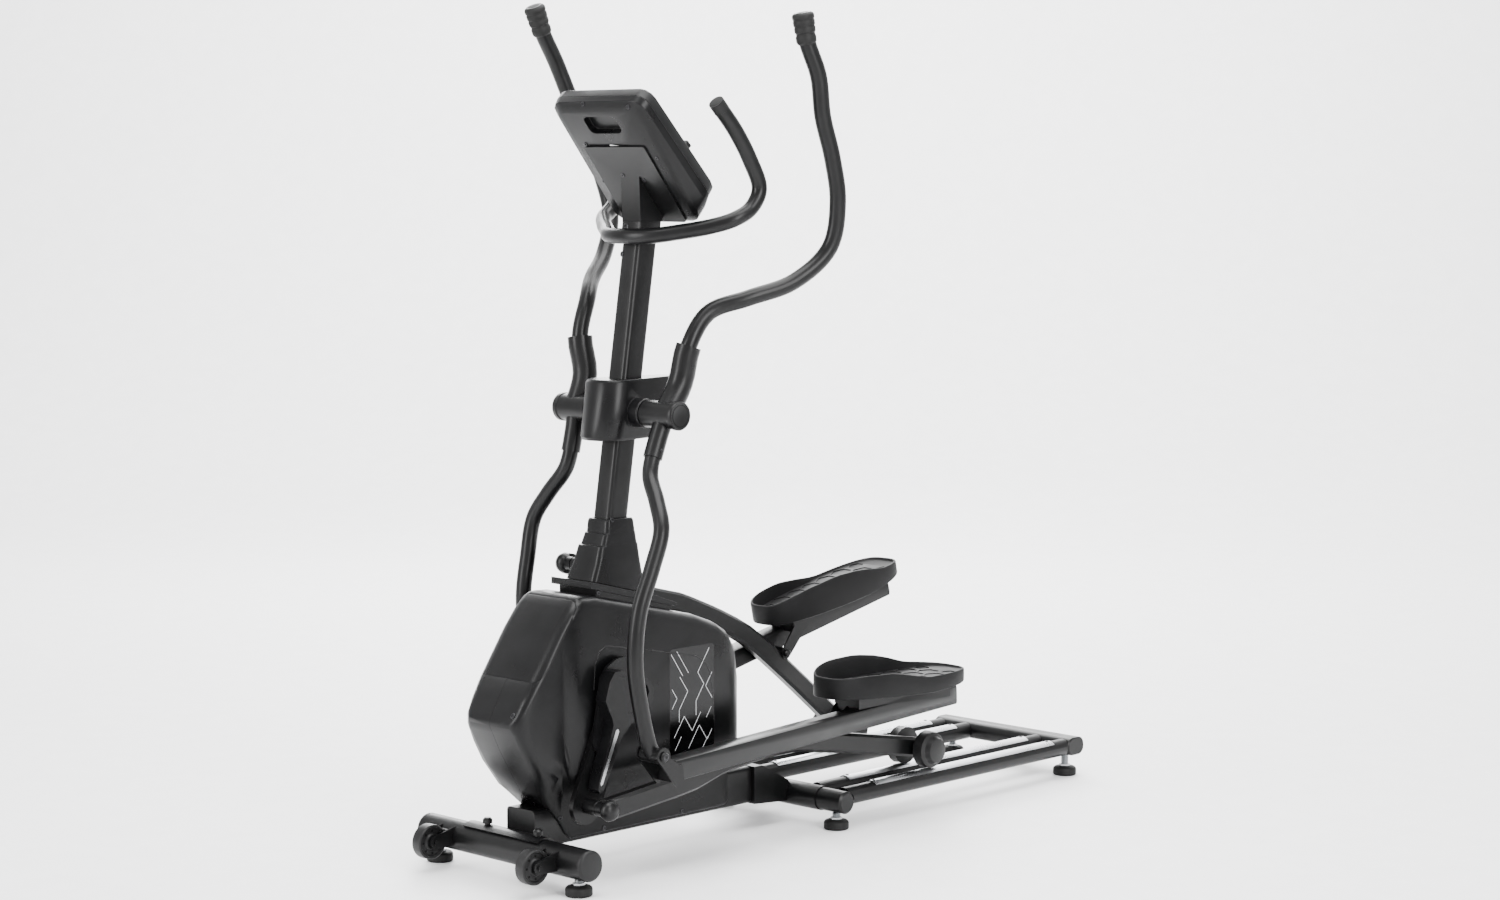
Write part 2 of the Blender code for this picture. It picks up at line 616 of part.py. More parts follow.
shells = {}
for s, sd in ((-1, "left"), (1, "right")):
    shells[sd] = housing_half("housing_" + sd, s)
    # beam passes through the foot of the housing, mast through its top, crank axle through its sides
    cut(shells[sd],
        sweep("c", [(0.02, 0, 0.091), (0.70, 0, 0.091)], rrect(0.0385, BEAM_Y + 0.0006, 0.008), "powder_coat"),
        box("c", 0.06, 0.70, -0.0406, 0.0406, 0.04, 0.07, "powder_coat"),
        mast_solid("c", rrect(MAST_A + 0.001, MAST_B + 0.001, 0.009), 0.30, 0.70, "powder_coat"),
        lathe("c", [(0, -0.3), (0.0215, -0.3), (0.0215, 0.3), (0, 0.3)], (CRANK_X, 0, CRANK_Z), "powder_coat", n=24))


def full_ring(sec, d, dx=0.0):
    half = half_section(sec[0] + dx, sec[1], sec[2], sec[3], sec[4], d)
    return half + [(x, -y, z) for x, y, z in half[-2:0:-1]]


v, f = skin([full_ring(q, 0.0) for q in SEC[:10]])
fc = outward(make("housing_front_cover", v, f, "housing_plastic", 40))
v, f = skin([full_ring(q, 0.003, 0.001 if k == 7 else 0.0) for k, q in enumerate(SEC[2:10])])
cut(fc, outward(make("c", v, f, "housing_plastic")))
boolean(fc, prism_y("c", SEAM, -0.2, 0.2, "powder_coat"), "INTERSECT")
for sd in ("left", "right"):
    cut(shells[sd], prism_y("c", seam_poly(0.0006), -0.2, 0.2, "powder_coat"))
    static(shells[sd])
static(fc)

# collar on top of the housing and the hollow cover round the foot of the mast
def top_at(x):
    return float(np.interp(x, [q[0] for q in SEC], [q[1] for q in SEC]))


xs = np.linspace(0.172, 0.385, 9)
collar = prism_y("mast_collar", [(0.185, top_at(0.185) + GAP)] + [(x, top_at(x) + GAP) for x in xs[1:]] + [(0.392, 0.4935), (0.185, 0.546)], -0.052, 0.052, "housing_plastic")
flange = prism_y("f", [(0.168, 0.5475), (0.185, 0.5435), (0.398, 0.4895), (0.402, 0.4955), (0.345, 0.516), (0.185, 0.557), (0.168, 0.561)], -0.057, 0.057, "housing_plastic")
collar = union("mast_collar", [collar, flange])
cut(collar, mast_solid("c", rrect(MAST_A + 0.0006, MAST_B + 0.0006, 0.009), 0.30, 0.90, "powder_coat"))
static(collar)


def cover_ring(z, x0, x1, hy, r):
    cx, a = (x0 + x1) / 2, (x1 - x0) / 2
    return [(cx + x, y, z) for x, y in rrect(a, hy, r)]


def slant(ring, k):
    """Lowers a ring towards the rear to follow the collar."""
    return [(x, y, z - k * (x - 0.250)) for x, y, z in ring]


crings = [slant(cover_ring(0.542, 0.190, 0.333, 0.044, 0.012), 0.255), slant(cover_ring(0.556, 0.194, 0.330, 0.043, 0.012), 0.20), cover_ring(0.590, 0.205, 0.322, 0.040, 0.012),
          cover_ring(0.622, 0.216, 0.318, 0.037, 0.011), cover_ring(0.6235, 0.222, 0.317, 0.036, 0.011), cover_ring(0.645, 0.231, 0.314, 0.034, 0.010), cover_ring(0.6465, 0.235, 0.314, 0.033, 0.010), cover_ring(0.668, 0.237, 0.311, 0.032, 0.010), cover_ring(0.673, 0.240, 0.308, 0.030, 0.009)]
v, f = skin(crings)
cover = outward(make("mast_cover", v, f, "housing_plastic"))
cut(cover, mast_solid("c", rrect(MAST_A + 0.0006, MAST_B + 0.0006, 0.009), 0.30, 0.90, "powder_coat"))
boolean(cover, prism_y("c", [(0.10, 0.5785 + GAP), (0.185, 0.557 + GAP), (0.345, 0.516 + GAP), (0.45, 0.489 + GAP), (0.45, 0.90), (0.10, 0.90)], -0.2, 0.2, "powder_coat"), "INTERSECT")
static(cover)

# ---------------------------------------------------------------- inside the housing
# two plates welded to the beam carry the crank bearing tube and the flywheel
FLY = (0.066, 0.325)
plates = []
for s in (-1, 1):
    y0, y1 = sorted((s * 0.034, s * 0.038))
    plates.append(prism_y("p", [(0.150, 0.1293), (0.266, 0.1293), (0.240, 0.330), (0.238, 0.372), (0.180, 0.372), (0.130, 0.345), (0.050, 0.343), (0.050, 0.307), (0.125, 0.300)], y0, y1, "powder_coat"))
tube = rod("t", (CRANK_X, -0.040, CRANK_Z), (CRANK_X, 0.040, CRANK_Z), 0.020, "powder_coat", 16)
tie = box("x", 0.060, 0.080, -0.0375, 0.0375, 0.3070, 0.3120, "powder_coat")
inner = union("inner_frame", [plates[0], tube, tie, plates[1]])
cut(inner, rod("c", (CRANK_X, -0.1, CRANK_Z), (CRANK_X, 0.1, CRANK_Z), 0.0145, "powder_coat", 16),
    rod("c", (FLY[0], -0.1, FLY[1]), (FLY[0], 0.1, FLY[1]), 0.0090, "powder_coat", 12))
static(inner)

# ---------------------------------------------------------------- crank, pulley, belt, flywheel
PUL_R, SMALL_R = 0.115, 0.020
BELT_Y0, BELT_Y1 = 0.0505, 0.0655
ax = [(0, -0.0975), (0.0080, -0.0975), (0.0080, -0.0872), (0.0139, -0.0872), (0.0139, 0.0480), (PUL_R - 0.012, 0.0500), (PUL_R - 0.012, 0.0460), (PUL_R, 0.0460),
      (PUL_R, 0.0700), (PUL_R - 0.012, 0.0700), (PUL_R - 0.012, 0.0620), (0.0139, 0.0620), (0.0139, 0.0872), (0.0080, 0.0872), (0.0080, 0.0975), (0, 0.0975)]
place(lathe("crank_axle_pulley", ax, (CRANK_X, 0, CRANK_Z), "zinc_steel", n=18), (CRANK_X, 0, CRANK_Z))
fw = [(0, -0.0700), (0.0085, -0.0700), (0.0085, -0.0665), (0.058, -0.0630), (0.062, -0.0700), (0.078, -0.0700), (0.078, -0.0470), (0.062, -0.0470), (0.058, -0.0550), (0.0085, -0.0520),
      (0.0085, 0.0480), (SMALL_R, 0.0480), (SMALL_R, 0.0680), (0, 0.0680)]
place(lathe("flywheel", fw, (FLY[0], 0, FLY[1]), "cast_flywheel", n=16), (FLY[0], 0, FLY[1]))

# belt round both pulleys
dx, dz = FLY[0] - CRANK_X, FLY[1] - CRANK_Z
dist = math.hypot(dx, dz)
head = math.atan2(dz, dx)
open_a = math.acos((PUL_R - SMALL_R) / dist)


def belt_loop(extra, n_big=20, n_small=7):
    pts = []
    for k in range(n_big + 1):
        t = head + open_a + (2 * math.pi - 2 * open_a) * k / n_big
        pts.append((CRANK_X + (PUL_R + extra) * math.cos(t), CRANK_Z + (PUL_R + extra) * math.sin(t)))
    for k in range(n_small + 1):
        t = head - open_a + 2 * open_a * k / n_small
        pts.append((FLY[0] + (SMALL_R + extra) * math.cos(t), FLY[1] + (SMALL_R + extra) * math.sin(t)))
    return pts


belt = prism_y("drive_belt", belt_loop(0.0030), BELT_Y0, BELT_Y1, "grip_rubber")
cut(belt, prism_y("c", belt_loop(0.0012), BELT_Y0 - 0.01, BELT_Y1 + 0.01, "grip_rubber"))
static(belt)


def side_part(build, side, pivot=None):
    """Builds a piece in the left pose, mirrored for the right side."""
    ob = build()
    if side == "right":
        mirror(ob)
    ob.name = ob.name.split(".")[0].replace("_left", "_" + side)
    return ob


AL, RL, LAL, PL, SL = side_pose("left")
AR, RR, LAR, PR, SR = side_pose("right")


def shift_pose(ob, p0, p1, a):
    """Moves p0 to p1 and turns by a."""
    c, s = math.cos(a), math.sin(a)
    for v in ob.data.vertices:
        x, z = v.co.x - p0[0], v.co.z - p0[1]
        v.co.x = p1[0] + x * c - z * s
        v.co.z = p1[1] + x * s + z * c
    return ob


U = (AL - O) / CRANK_R
W = np.array([-U[1], U[0]])


def on_crank(along, side):
    q = O + U * along + W * side
    return (float(q[0]), float(q[1]))


def crank_bar():
    bar = slab("crank_left", O, AL, 0.034, 0.037, -Y_CRANK[1], -Y_CRANK[0], "powder_coat")
    pin = lathe("p", [(0, -0.1330), (0.0135, -0.1330), (0.0145, -0.1320), (0.0145, -0.0960), (0, -0.0960)], (AL[0], 0, AL[1]), "powder_coat", n=20)
    bar = union("crank_left", [bar, pin])
    return cut(bar, rod("c", (CRANK_X, -0.2, CRANK_Z), (CRANK_X, -0.05, CRANK_Z), 0.0084, "powder_coat", 16))


COVER = [(-0.030, -0.045), (-0.022, -0.062), (0.0, -0.068), (0.037, -0.064), (0.052, -0.048), (0.063, -0.034), (0.074, -0.026), (0.100, -0.024), (0.141, -0.021), (0.187, -0.0195), (0.202, -0.016),
         (0.206, -0.009), (0.202, -0.003), (0.183, -0.001), (0.141, 0.001), (0.106, 0.003), (0.076, 0.006), (0.060, 0.017), (0.047, 0.036), (0.036, 0.052), (0.0, 0.056), (-0.022, 0.050), (-0.032, 0.034), (-0.036, 0.0)]
WINDOW = [(-0.020, -0.046), (-0.010, -0.051), (0.028, -0.051), (0.036, -0.038), (0.041, -0.016), (0.041, 0.006), (0.036, 0.028), (0.026, 0.040), (-0.012, 0.040), (-0.022, 0.030), (-0.025, 0.0)]
STRIP = [(0.080, -0.016), (0.076, -0.011), (0.080, -0.006), (0.188, -0.008), (0.193, -0.012), (0.188, -0.016)]


def crank_cover():
    foot = slab("crank_cover_left", O, on_crank(0.10, -0.008), 0.066, 0.034, -0.1060, -Y_COVER[0], "housing_plastic")
    face = prism_y("f", [on_crank(*p) for p in COVER], -Y_COVER[1], -0.1050, "housing_plastic")
    ob = union("crank_cover_left", [foot, face])
    cut(ob, prism_y("c", [on_crank(*p) for p in WINDOW], -0.2, -Y_COVER[1] + 0.004, "housing_plastic"),
        prism_y("c", [on_crank(*p) for p in STRIP], -0.2, -Y_COVER[1] + 0.0012, "housing_plastic"),
        rod("c", (CRANK_X, -0.110, CRANK_Z), (CRANK_X, -0.05, CRANK_Z), 0.0084, "powder_coat", 16))
    return ob


for sd in ("left", "right"):
    for build in (crank_bar, crank_cover):
        ob = side_part(build, sd)
        if sd == "right":
            turn(ob, O, math.pi)
        place(ob, (CRANK_X, 0, CRANK_Z))

# ---------------------------------------------------------------- swing arms and handles
LOWER = [(0.302, -0.127, 0.881), (0.280, -0.126, 0.830), (0.254, -0.134, 0.770), (0.232, -0.175, 0.720), (0.211, -0.209, 0.670), (0.182, -0.213, 0.600), (0.150, -0.211, 0.520), (0.140, -0.210, 0.420), (0.157, -0.208, 0.330),
         (0.177, -0.208, 0.260), (float(SL[0]), -0.209, float(SL[1]))]
UPPER = [(0.301, -0.127, 0.880), (0.340, -0.129, 0.940), (0.353, -0.140, 1.013), (0.398, -0.151, 1.077), (0.460, -0.196, 1.104), (0.543, -0.240, 1.135), (0.610, -0.274, 1.201), (0.616, -0.290, 1.290), (0.596, -0.294, 1.375),
         (0.569, -0.293, 1.456), (0.551, -0.298, 1.534), (0.524, -0.293, 1.600), (0.512, -0.292, 1.655)]


def swing_arm():
    low = smooth_path(LOWER, 2)
    up = smooth_path(UPPER, 2)
    tube = sweep("swing_left", low, circle(0.016, 10), "powder_coat", up=(1, 0, 0))
    hub = lathe("h", [(0.0105, -0.0785), (0.0270, -0.0785), (0.0270, -0.1580), (0.0285, -0.1590), (0.0285, -0.1680), (0.0260, -0.1705), (0, -0.1705), (0, -0.1640), (0.0105, -0.1640)], (SWING_X, 0, SWING_Z), "powder_coat", n=16)
    sock = sweep("s", up[0:5:2], circle(0.025, 14), "powder_coat", up=(1, 0, 0))
    low_sock = sweep("l", low[0:4:3], circle(0.019, 10), "powder_coat", up=(1, 0, 0))
    foot = lathe("f", [(0, -0.185), (0.0155, -0.185), (0.0155, -0.2330), (0, -0.2330)], (SL[0], 0, SL[1]), "powder_coat", n=12)
    ob = union("swing_left", [hub, sock, low_sock, tube, foot])
    cut(ob, sweep("c", up[2:7], circle(0.0180, 10), "powder_coat", up=(1, 0, 0)),
        rod("c", (SL[0], -0.3, SL[1]), (SL[0], -0.1, SL[1]), 0.0064, "powder_coat", 14),
        rod("c", (SWING_X, -0.1640, SWING_Z), (SWING_X, -0.05, SWING_Z), 0.0105, "powder_coat", 14))
    return ob


def handle():
    up = smooth_path(UPPER, 2)[2:]
    up[0] = up[0] + (up[1] - up[0]) * 0.12
    tube = sweep("handle_left", up, circle(0.0168, 12), "powder_coat", up=(1, 0, 0))
    end = up[-1]
    d = (up[-1] - up[-3]) / np.linalg.norm(up[-1] - up[-3])
    rings = [(-0.060, 0.0182), (-0.058, 0.0198), (-0.046, 0.0203), (-0.044, 0.0186), (-0.040, 0.0186), (-0.038, 0.0210), (-0.006, 0.0222), (-0.001, 0.0190), (0.001, 0.0100)]
    grip = sweep("g", [end + d * a for a, r in rings], circle(1.0, 12), "grip_rubber", up=(1, 0, 0), scale=[r for a, r in rings])
    return union("handle_left", [tube, grip])


for sd in ("left", "right"):
    for build in (swing_arm, handle):
        ob = side_part(build, sd)
        if sd == "right":
            turn(ob, T, SWING_STEP)
        place(ob, (SWING_X, 0, SWING_Z))

# ---------------------------------------------------------------- pedal arms and pedals
ARM_D = math.atan2(PR[1] - SR[1], PR[0] - SR[0]) - math.atan2(PL[1] - SL[1], PL[0] - SL[0])


def arm_y(x):
    return -Y_SWING + (Y_SWING - Y_ARM_R) * (x - 0.187) / 0.943


def pedal_arm():
    sx, sz = float(SL[0]), float(SL[1])
    tube = sweep("pedal_arm_left", [(0.230, arm_y(0.230), 0.2052), (1.126, arm_y(1.126), 0.2313), (1.130, arm_y(1.130), 0.2315)], rrect(0.021, 0.022, 0.005, 2), "powder_coat", scale=[1, 1, 0.86])
    arc = [(sx + 0.0175 * math.cos(math.radians(t)), sz + 0.0175 * math.sin(math.radians(t))) for t in range(195, -16, -21)]
    plate = arc + [(0.238, 0.214), (0.242, 0.1850), (0.228, 0.1770), (0.221, 0.1775)]
    outer = prism_y("o", plate, -0.2390, -0.2342, "powder_coat")
    inner_p = prism_y("i", plate, -0.1838, -0.1802, "powder_coat")
    web = box("w", 0.2225, 0.2400, -0.2360, -0.1815, 0.1845, 0.2180, "powder_coat")
    bolt = lathe("b", [(0, -0.1768), (0.0095, -0.1768), (0.0095, -0.1810), (0.0060, -0.1810), (0.0060, -0.2380), (0.0100, -0.2380), (0.0100, -0.2420), (0.0070, -0.2450), (0, -0.2450)], (sx, 0, sz), "zinc_steel", n=14)
    riser = box("r", 0.800, 1.090, -0.1850, -0.1250, 0.2350, 0.2685, "powder_coat")
    riser2 = box("q", 0.800, 0.860, -0.1700, -0.1165, 0.2500, 0.2685, "powder_coat")
    plate_t = box("t", 0.790, 1.080, -0.1950, -0.0950, 0.2678, 0.2715, "powder_coat")
    ear_o = slab("e", PL, (0.832, 0.2525), 0.0130, 0.0175, -0.1536, -0.1500, "powder_coat", 6)
    ear_i = slab("e", PL, (0.832, 0.2525), 0.0130, 0.0175, -0.1200, -0.1165, "powder_coat", 6)
    ear_i = union("e", [ear_i, lathe("n", [(0, -0.1180), (0.0085, -0.1180), (0.0085, -0.1120), (0.0060, -0.1100), (0, -0.1100)], (PL[0], 0, PL[1]), "zinc_steel", n=12)])
    return union("pedal_arm_left", [tube, web, outer, inner_p, bolt, riser, riser2, plate_t, ear_o, ear_i])


PED_X0, PED_X1, PED_Y, PED_HW, TREAD_Z = 0.735, 1.145, -0.145, 0.075, 0.287


def pedal_outline(d, n=26):
    cx, a = (PED_X0 + PED_X1) / 2, (PED_X1 - PED_X0) / 2 - d
    pts = []
    for k in range(n):
        t = 2 * math.pi * (k + 0.5) / n
        ct, st = math.cos(t), math.sin(t)
        e = 2 / 2.9 if ct < 0 else 2 / 3.6
        x = a * math.copysign(abs(ct) ** e, ct)
        y = (PED_HW - d) * math.copysign(abs(st) ** e, st)
        if x > 0:
            y *= 1 - 0.13 * (x / a) ** 2
        pts.append((cx + x, PED_Y + y))
    return pts


def rim_z(x, y):
    zi = float(np.interp(x, [0.735, 0.77, 0.82, 0.90, 0.95, 1.01, 1.06, 1.145], [0.313, 0.325, 0.332, 0.333, 0.329, 0.316, 0.301, 0.2925]))
    zo = float(np.interp(x, [0.735, 0.80, 0.87, 0.93, 0.98, 1.145], [0.313, 0.3165, 0.315, 0.304, 0.293, 0.2915]))
    w = min(1.0, max(0.0, (y - PED_Y) / PED_HW * 0.5 + 0.5))
    w = 3 * w * w - 2 * w ** 3
    return zo + (zi - zo) * w


def skirt_z(x):
    return float(np.interp(x, [0.735, 0.80, 0.93, 1.00, 1.08, 1.145], [0.270, 0.268, 0.2605, 0.2575, 0.2600, 0.2640]))


def pedal():
    o0, o3, o6, o9 = (pedal_outline(d) for d in (0.0, 0.003, 0.0045, 0.0075))
    o8 = pedal_outline(0.0070)
    rings = [[(x, y, 0.2722) for x, y in o8], [(x, y, skirt_z(x)) for x, y in o3], [(x, y, skirt_z(x) + 0.004) for x, y in o0],
             [(x, y, rim_z(x, y) - 0.003) for x, y in o0], [(x, y, rim_z(x, y)) for x, y in pedal_outline(0.0022)], [(x, y, rim_z(x, y) - 0.001) for x, y in o6], [(x, y, TREAD_Z) for x, y in o9]]
    v, f = skin(rings)
    body = outward(make("pedal_left", v, f, "pedal_plastic"))
    r = 0.0253
    hexes = []
    for row, yy in enumerate((-0.0400, 0.0, 0.0400)):
        for col in range(6 if row == 1 else 7):
            x = 0.7935 + col * 0.0490 + (0.0245 if row == 1 else 0.0)
            narrow, inset = 1.0, 1.0
            if row != 1 and col == 0:
                narrow, inset, x = 0.60, 0.935, x + 0.006
            if row != 1 and col == 6:
                narrow, inset = 0.70, 0.955
            hexes.append(prism_z("h", [(x + r * narrow * math.cos(math.radians(30 + 60 * k)), PED_Y + yy * inset + r * 0.92 * narrow * math.sin(math.radians(30 + 60 * k))) for k in range(6)], TREAD_Z - 0.0016, TREAD_Z + 0.05, "pedal_plastic"))
    cut(body, *hexes)
    return cut(body, rod("c", (0.965, PED_Y, 0.2805), (0.965, PED_Y, 0.32), 0.0060, "pedal_plastic", 10))


for sd in ("left", "right"):
    piv = (float(SL[0]), 0, float(SL[1])) if sd == "left" else (float(SR[0]), 0, float(SR[1]))
    for build in (pedal_arm, pedal):
        ob = side_part(build, sd)
        if sd == "right":
            shift_pose(ob, SL, SR, ARM_D)
        place(ob, piv)

# ---------------------------------------------------------------- links, carriages and rollers
LINK = [(0.0, 0.0), (0.128, 0.014), (0.237, 0.026), (0.309, 0.045), (0.372, 0.053), (0.436, 0.059), (0.527, 0.061), (0.616, 0.049), (0.734, 0.030), (LINK_L, 0.0)]


def link_y(a):
    return float(np.interp(a, [0.0, 0.10, 0.40, 0.58, 0.72, LINK_L], [-Y_LINK, -Y_LINK, -0.140, -0.1345, -0.1345, -Y_LINK_R]))


def link():
    pts = []
    for a, b in LINK:
        q = AL + rot((a, b), LAL)
        pts.append((q[0], link_y(a), q[1]))
    tube = sweep("link_left", smooth_path(pts, 2), rrect(0.021, 0.014, 0.006, 1), "powder_coat")
    front = lathe("f", [(0, -0.1345), (0.0145, -0.1345), (0.0145, -0.1500), (0.0185, -0.1545), (0.0212, -0.1620), (0.0185, -0.1700), (0.0120, -0.1755), (0, -0.1775)], (AL[0], 0, AL[1]), "powder_coat", n=18)
    rear_b = lathe("r", [(0, -0.1270), (0.0200, -0.1270), (0.0200, -0.1550), (0, -0.1550)], (RL[0], 0, RL[1]), "powder_coat", n=16)
    boss = slab("b", PL, PL - np.array([0.0, 0.02]), 0.0115, 0.0160, link_y(0.64) - 0.0138, link_y(0.64) + 0.0138, "powder_coat", 6)
    ob = union("link_left", [tube, front, rear_b, boss])
    return cut(ob, rod("c", (RL[0], -0.3, RL[1]), (RL[0], -0.05, RL[1]), 0.0119, "powder_coat", 16))


def roller_axle():
    return rod("roller_axle_left", (RL[0], -0.0905, RL[1]), (RL[0], -0.1990, RL[1]), 0.0060, "zinc_steel", 10)


def roller_set():
    w = WHEEL_R
    prof = [(0.0065, -0.0930), (w + 0.0010, -0.0930), (w, -0.0985), (w, -0.1095), (w + 0.0010, -0.1145), (0.0250, -0.1150), (0.0190, -0.1180), (0.0112, -0.1190),
            (0.0112, -0.1630), (0.0190, -0.1640), (0.0250, -0.1670), (w + 0.0010, -0.1670), (w, -0.1720), (w, -0.1840), (w - 0.001, -0.1890), (0.0300, -0.1930), (0.0255, -0.2030), (0.0200, -0.2045), (0, -0.2045), (0, -0.2005), (0.0065, -0.2005)]
    return lathe("roller_set_left", prof, (RL[0], 0, RL[1]), "wheel_plastic", n=16)


for sd in ("left", "right"):
    for build in (link, roller_axle, roller_set):
        ob = side_part(build, sd)
        if sd == "right":
            shift_pose(ob, RL, RR, (LAR - LAL) if build is link else 0.0)
        p = RL if sd == "left" else RR
        place(ob, (float(p[0]), 0, float(p[1])))

# ---------------------------------------------------------------- console and fixed handlebar
CON_TOP = np.array([0.260, 1.510])
CON_D = np.array([0.184, -0.196]) / math.hypot(0.184, 0.196)   # down the display face
CON_N = np.array([-CON_D[1], CON_D[0]])                        # out of the display face, to the rider


def con(s, t, y):
    q = CON_TOP + CON_D * s + CON_N * t
    return (float(q[0]), y, float(q[1]))


def con_ring(s0, s1, hy, r, tf, n=3):
    cs, a = (s0 + s1) / 2, (s1 - s0) / 2
    return [con(cs + x, tf(cs + x), y) for x, y in rrect(a, hy, r, n)]


def back_t(s):
    return -0.046 - 0.022 * s / 0.2688


rings = [con_ring(0.018, 0.284, 0.112, 0.022, lambda s: back_t(s)), con_ring(0.008, 0.292, 0.120, 0.028, lambda s: back_t(s) + 0.006), con_ring(0.001, 0.284, 0.1285, 0.030, lambda s: -0.0360 - 0.010 * s), con_ring(0.0, 0.2740, 0.130, 0.026, lambda s: -0.0220)]
v, f = skin(rings)
back = outward(make("console_back", v, f, "housing_plastic"))
v, f = skin([con_ring(0.030, 0.070, 0.045, 0.012, lambda s: back_t(s) - 0.02), con_ring(0.030, 0.070, 0.045, 0.012, lambda s: back_t(s) + 0.014)])
cut(back, outward(make("c", v, f, "housing_plastic")))
v, f = skin([con_ring(0.004, 0.268, 0.124, 0.022, lambda s: -0.0100), con_ring(0.008, 0.262, 0.120, 0.020, lambda s: -0.0290)])
cut(back, outward(make("c", v, f, "housing_plastic")))
static(back)

v, f = skin([con_ring(0.0, 0.2725, 0.130, 0.026, lambda s: -0.0217), con_ring(0.0, 0.2700, 0.130, 0.026, lambda s: -0.0040), con_ring(0.003, 0.2660, 0.127, 0.024, lambda s: 0.0)])
front = outward(make("console_front", v, f, "trim_plastic"))
v, f = skin([con_ring(0.020, 0.120, 0.100, 0.006, lambda s: -0.0045, 1), con_ring(0.020, 0.120, 0.100, 0.006, lambda s: 0.01, 1)])
ledge_v, ledge_f = skin([con_ring(0.146, 0.162, 0.124, 0.002, lambda s: -0.003, 1), con_ring(0.146, 0.162, 0.124, 0.002, lambda s: 0.010, 1)])
front = union("console_front", [front, outward(make("l", ledge_v, ledge_f, "trim_plastic"))])
cut(front, outward(make("c", v, f, "housing_plastic")))
BUT_S, BUT_Y, BUT_R = 0.205, 0.045, 0.0100


def con_peg(name, s, y, r, t0, t1, material, n=16):
    v, f = skin([[con(s + r * math.cos(a), t, y + r * math.sin(a)) for a in np.linspace(0, 2 * math.pi, n, endpoint=False)] for t in (t0, t1)])
    return outward(make(name, v, f, material))


for y in (-BUT_Y, BUT_Y):
    cut(front, con_peg("c", BUT_S, y, BUT_R + 0.0005, -0.0150, 0.02, "trim_plastic"))
static(front)
v, f = skin([con_ring(0.0204, 0.1196, 0.0996, 0.0056, lambda s: -0.0042, 1), con_ring(0.0204, 0.1196, 0.0996, 0.0056, lambda s: -0.0008, 1)])
static(outward(make("console_display", v, f, "display_glass")))
for y, nm in ((-BUT_Y, "left"), (BUT_Y, "right")):
    b = con_peg("console_button_" + nm, BUT_S, y, BUT_R, -0.0085, 0.0030, "grip_rubber")
    place(b, con(BUT_S, -0.0085, y))

# bracket between mast and console
v, f = skin([con_ring(0.100, 0.286, 0.085, 0.006, lambda s: back_t(s) - 0.0005, 2), con_ring(0.100, 0.286, 0.085, 0.006, lambda s: back_t(s) - 0.0045, 2)])
plate = outward(make("console_bracket", v, f, "powder_coat"))
stem = mast_solid("s", rrect(0.0235, 0.0205, 0.005, 2), 1.200, 1.262, "powder_coat")
cap = mast_solid("s", rrect(0.030, 0.027, 0.006, 2), 1.2384, 1.252, "powder_coat")
nose = prism_y("n", [(0.334, 1.245), (0.386, 1.245), (0.392, 1.256), (0.395, 1.262), (0.330, 1.343)], -0.026, 0.026, "powder_coat")
br = union("console_bracket", [plate, nose, cap, stem])
static(br)

# fixed handlebar with a tube end plug at each end
half = [(0.314, 0.0, 1.224), (0.318, -0.030, 1.224), (0.330, -0.060, 1.225), (0.362, -0.100, 1.232), (0.400, -0.150, 1.243), (0.434, -0.186, 1.258), (0.470, -0.196, 1.280), (0.488, -0.200, 1.316), (0.462, -0.200, 1.372), (0.420, -0.200, 1.430), (0.368, -0.200, 1.483)]
full = [(x, -y, z) for x, y, z in half[:0:-1]] + half
hb = sweep("fixed_handlebar", smooth_path(full, 2), circle(0.0155, 10), "powder_coat", up=(1, 0, 0))
static(hb)
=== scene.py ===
"""Looks of the elliptical trainer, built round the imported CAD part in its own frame."""

import json
import math

import bpy
import numpy as np
from mathutils import Euler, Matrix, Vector
from mathutils.bvhtree import BVHTree

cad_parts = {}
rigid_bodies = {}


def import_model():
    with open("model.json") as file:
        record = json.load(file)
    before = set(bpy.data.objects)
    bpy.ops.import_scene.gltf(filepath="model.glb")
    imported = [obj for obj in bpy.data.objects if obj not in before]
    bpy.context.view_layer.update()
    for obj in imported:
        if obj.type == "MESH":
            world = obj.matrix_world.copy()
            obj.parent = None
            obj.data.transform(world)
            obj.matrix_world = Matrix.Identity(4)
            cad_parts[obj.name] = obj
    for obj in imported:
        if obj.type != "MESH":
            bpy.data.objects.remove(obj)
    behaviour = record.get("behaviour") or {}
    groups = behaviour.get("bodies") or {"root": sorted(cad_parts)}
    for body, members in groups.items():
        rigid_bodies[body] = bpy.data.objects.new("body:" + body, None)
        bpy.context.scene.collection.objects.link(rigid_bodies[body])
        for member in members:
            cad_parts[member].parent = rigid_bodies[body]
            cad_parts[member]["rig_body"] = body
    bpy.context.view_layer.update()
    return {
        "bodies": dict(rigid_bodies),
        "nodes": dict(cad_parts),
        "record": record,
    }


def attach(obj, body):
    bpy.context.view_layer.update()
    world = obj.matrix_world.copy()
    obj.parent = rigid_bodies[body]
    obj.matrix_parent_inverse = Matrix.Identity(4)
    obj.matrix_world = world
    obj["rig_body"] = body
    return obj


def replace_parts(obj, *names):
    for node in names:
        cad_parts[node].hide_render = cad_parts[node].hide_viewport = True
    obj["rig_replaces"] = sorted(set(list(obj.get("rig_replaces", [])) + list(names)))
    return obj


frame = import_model()
DX = -0.73475
NODES, BODIES = frame["nodes"], frame["bodies"]
BODY_OF = {n: o["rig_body"] for n, o in NODES.items()}
SLOT_OF = {s["node"]: s["material_slot"] for s in frame["record"]["subparts"]}

# ---------------------------------------------------------------- materials


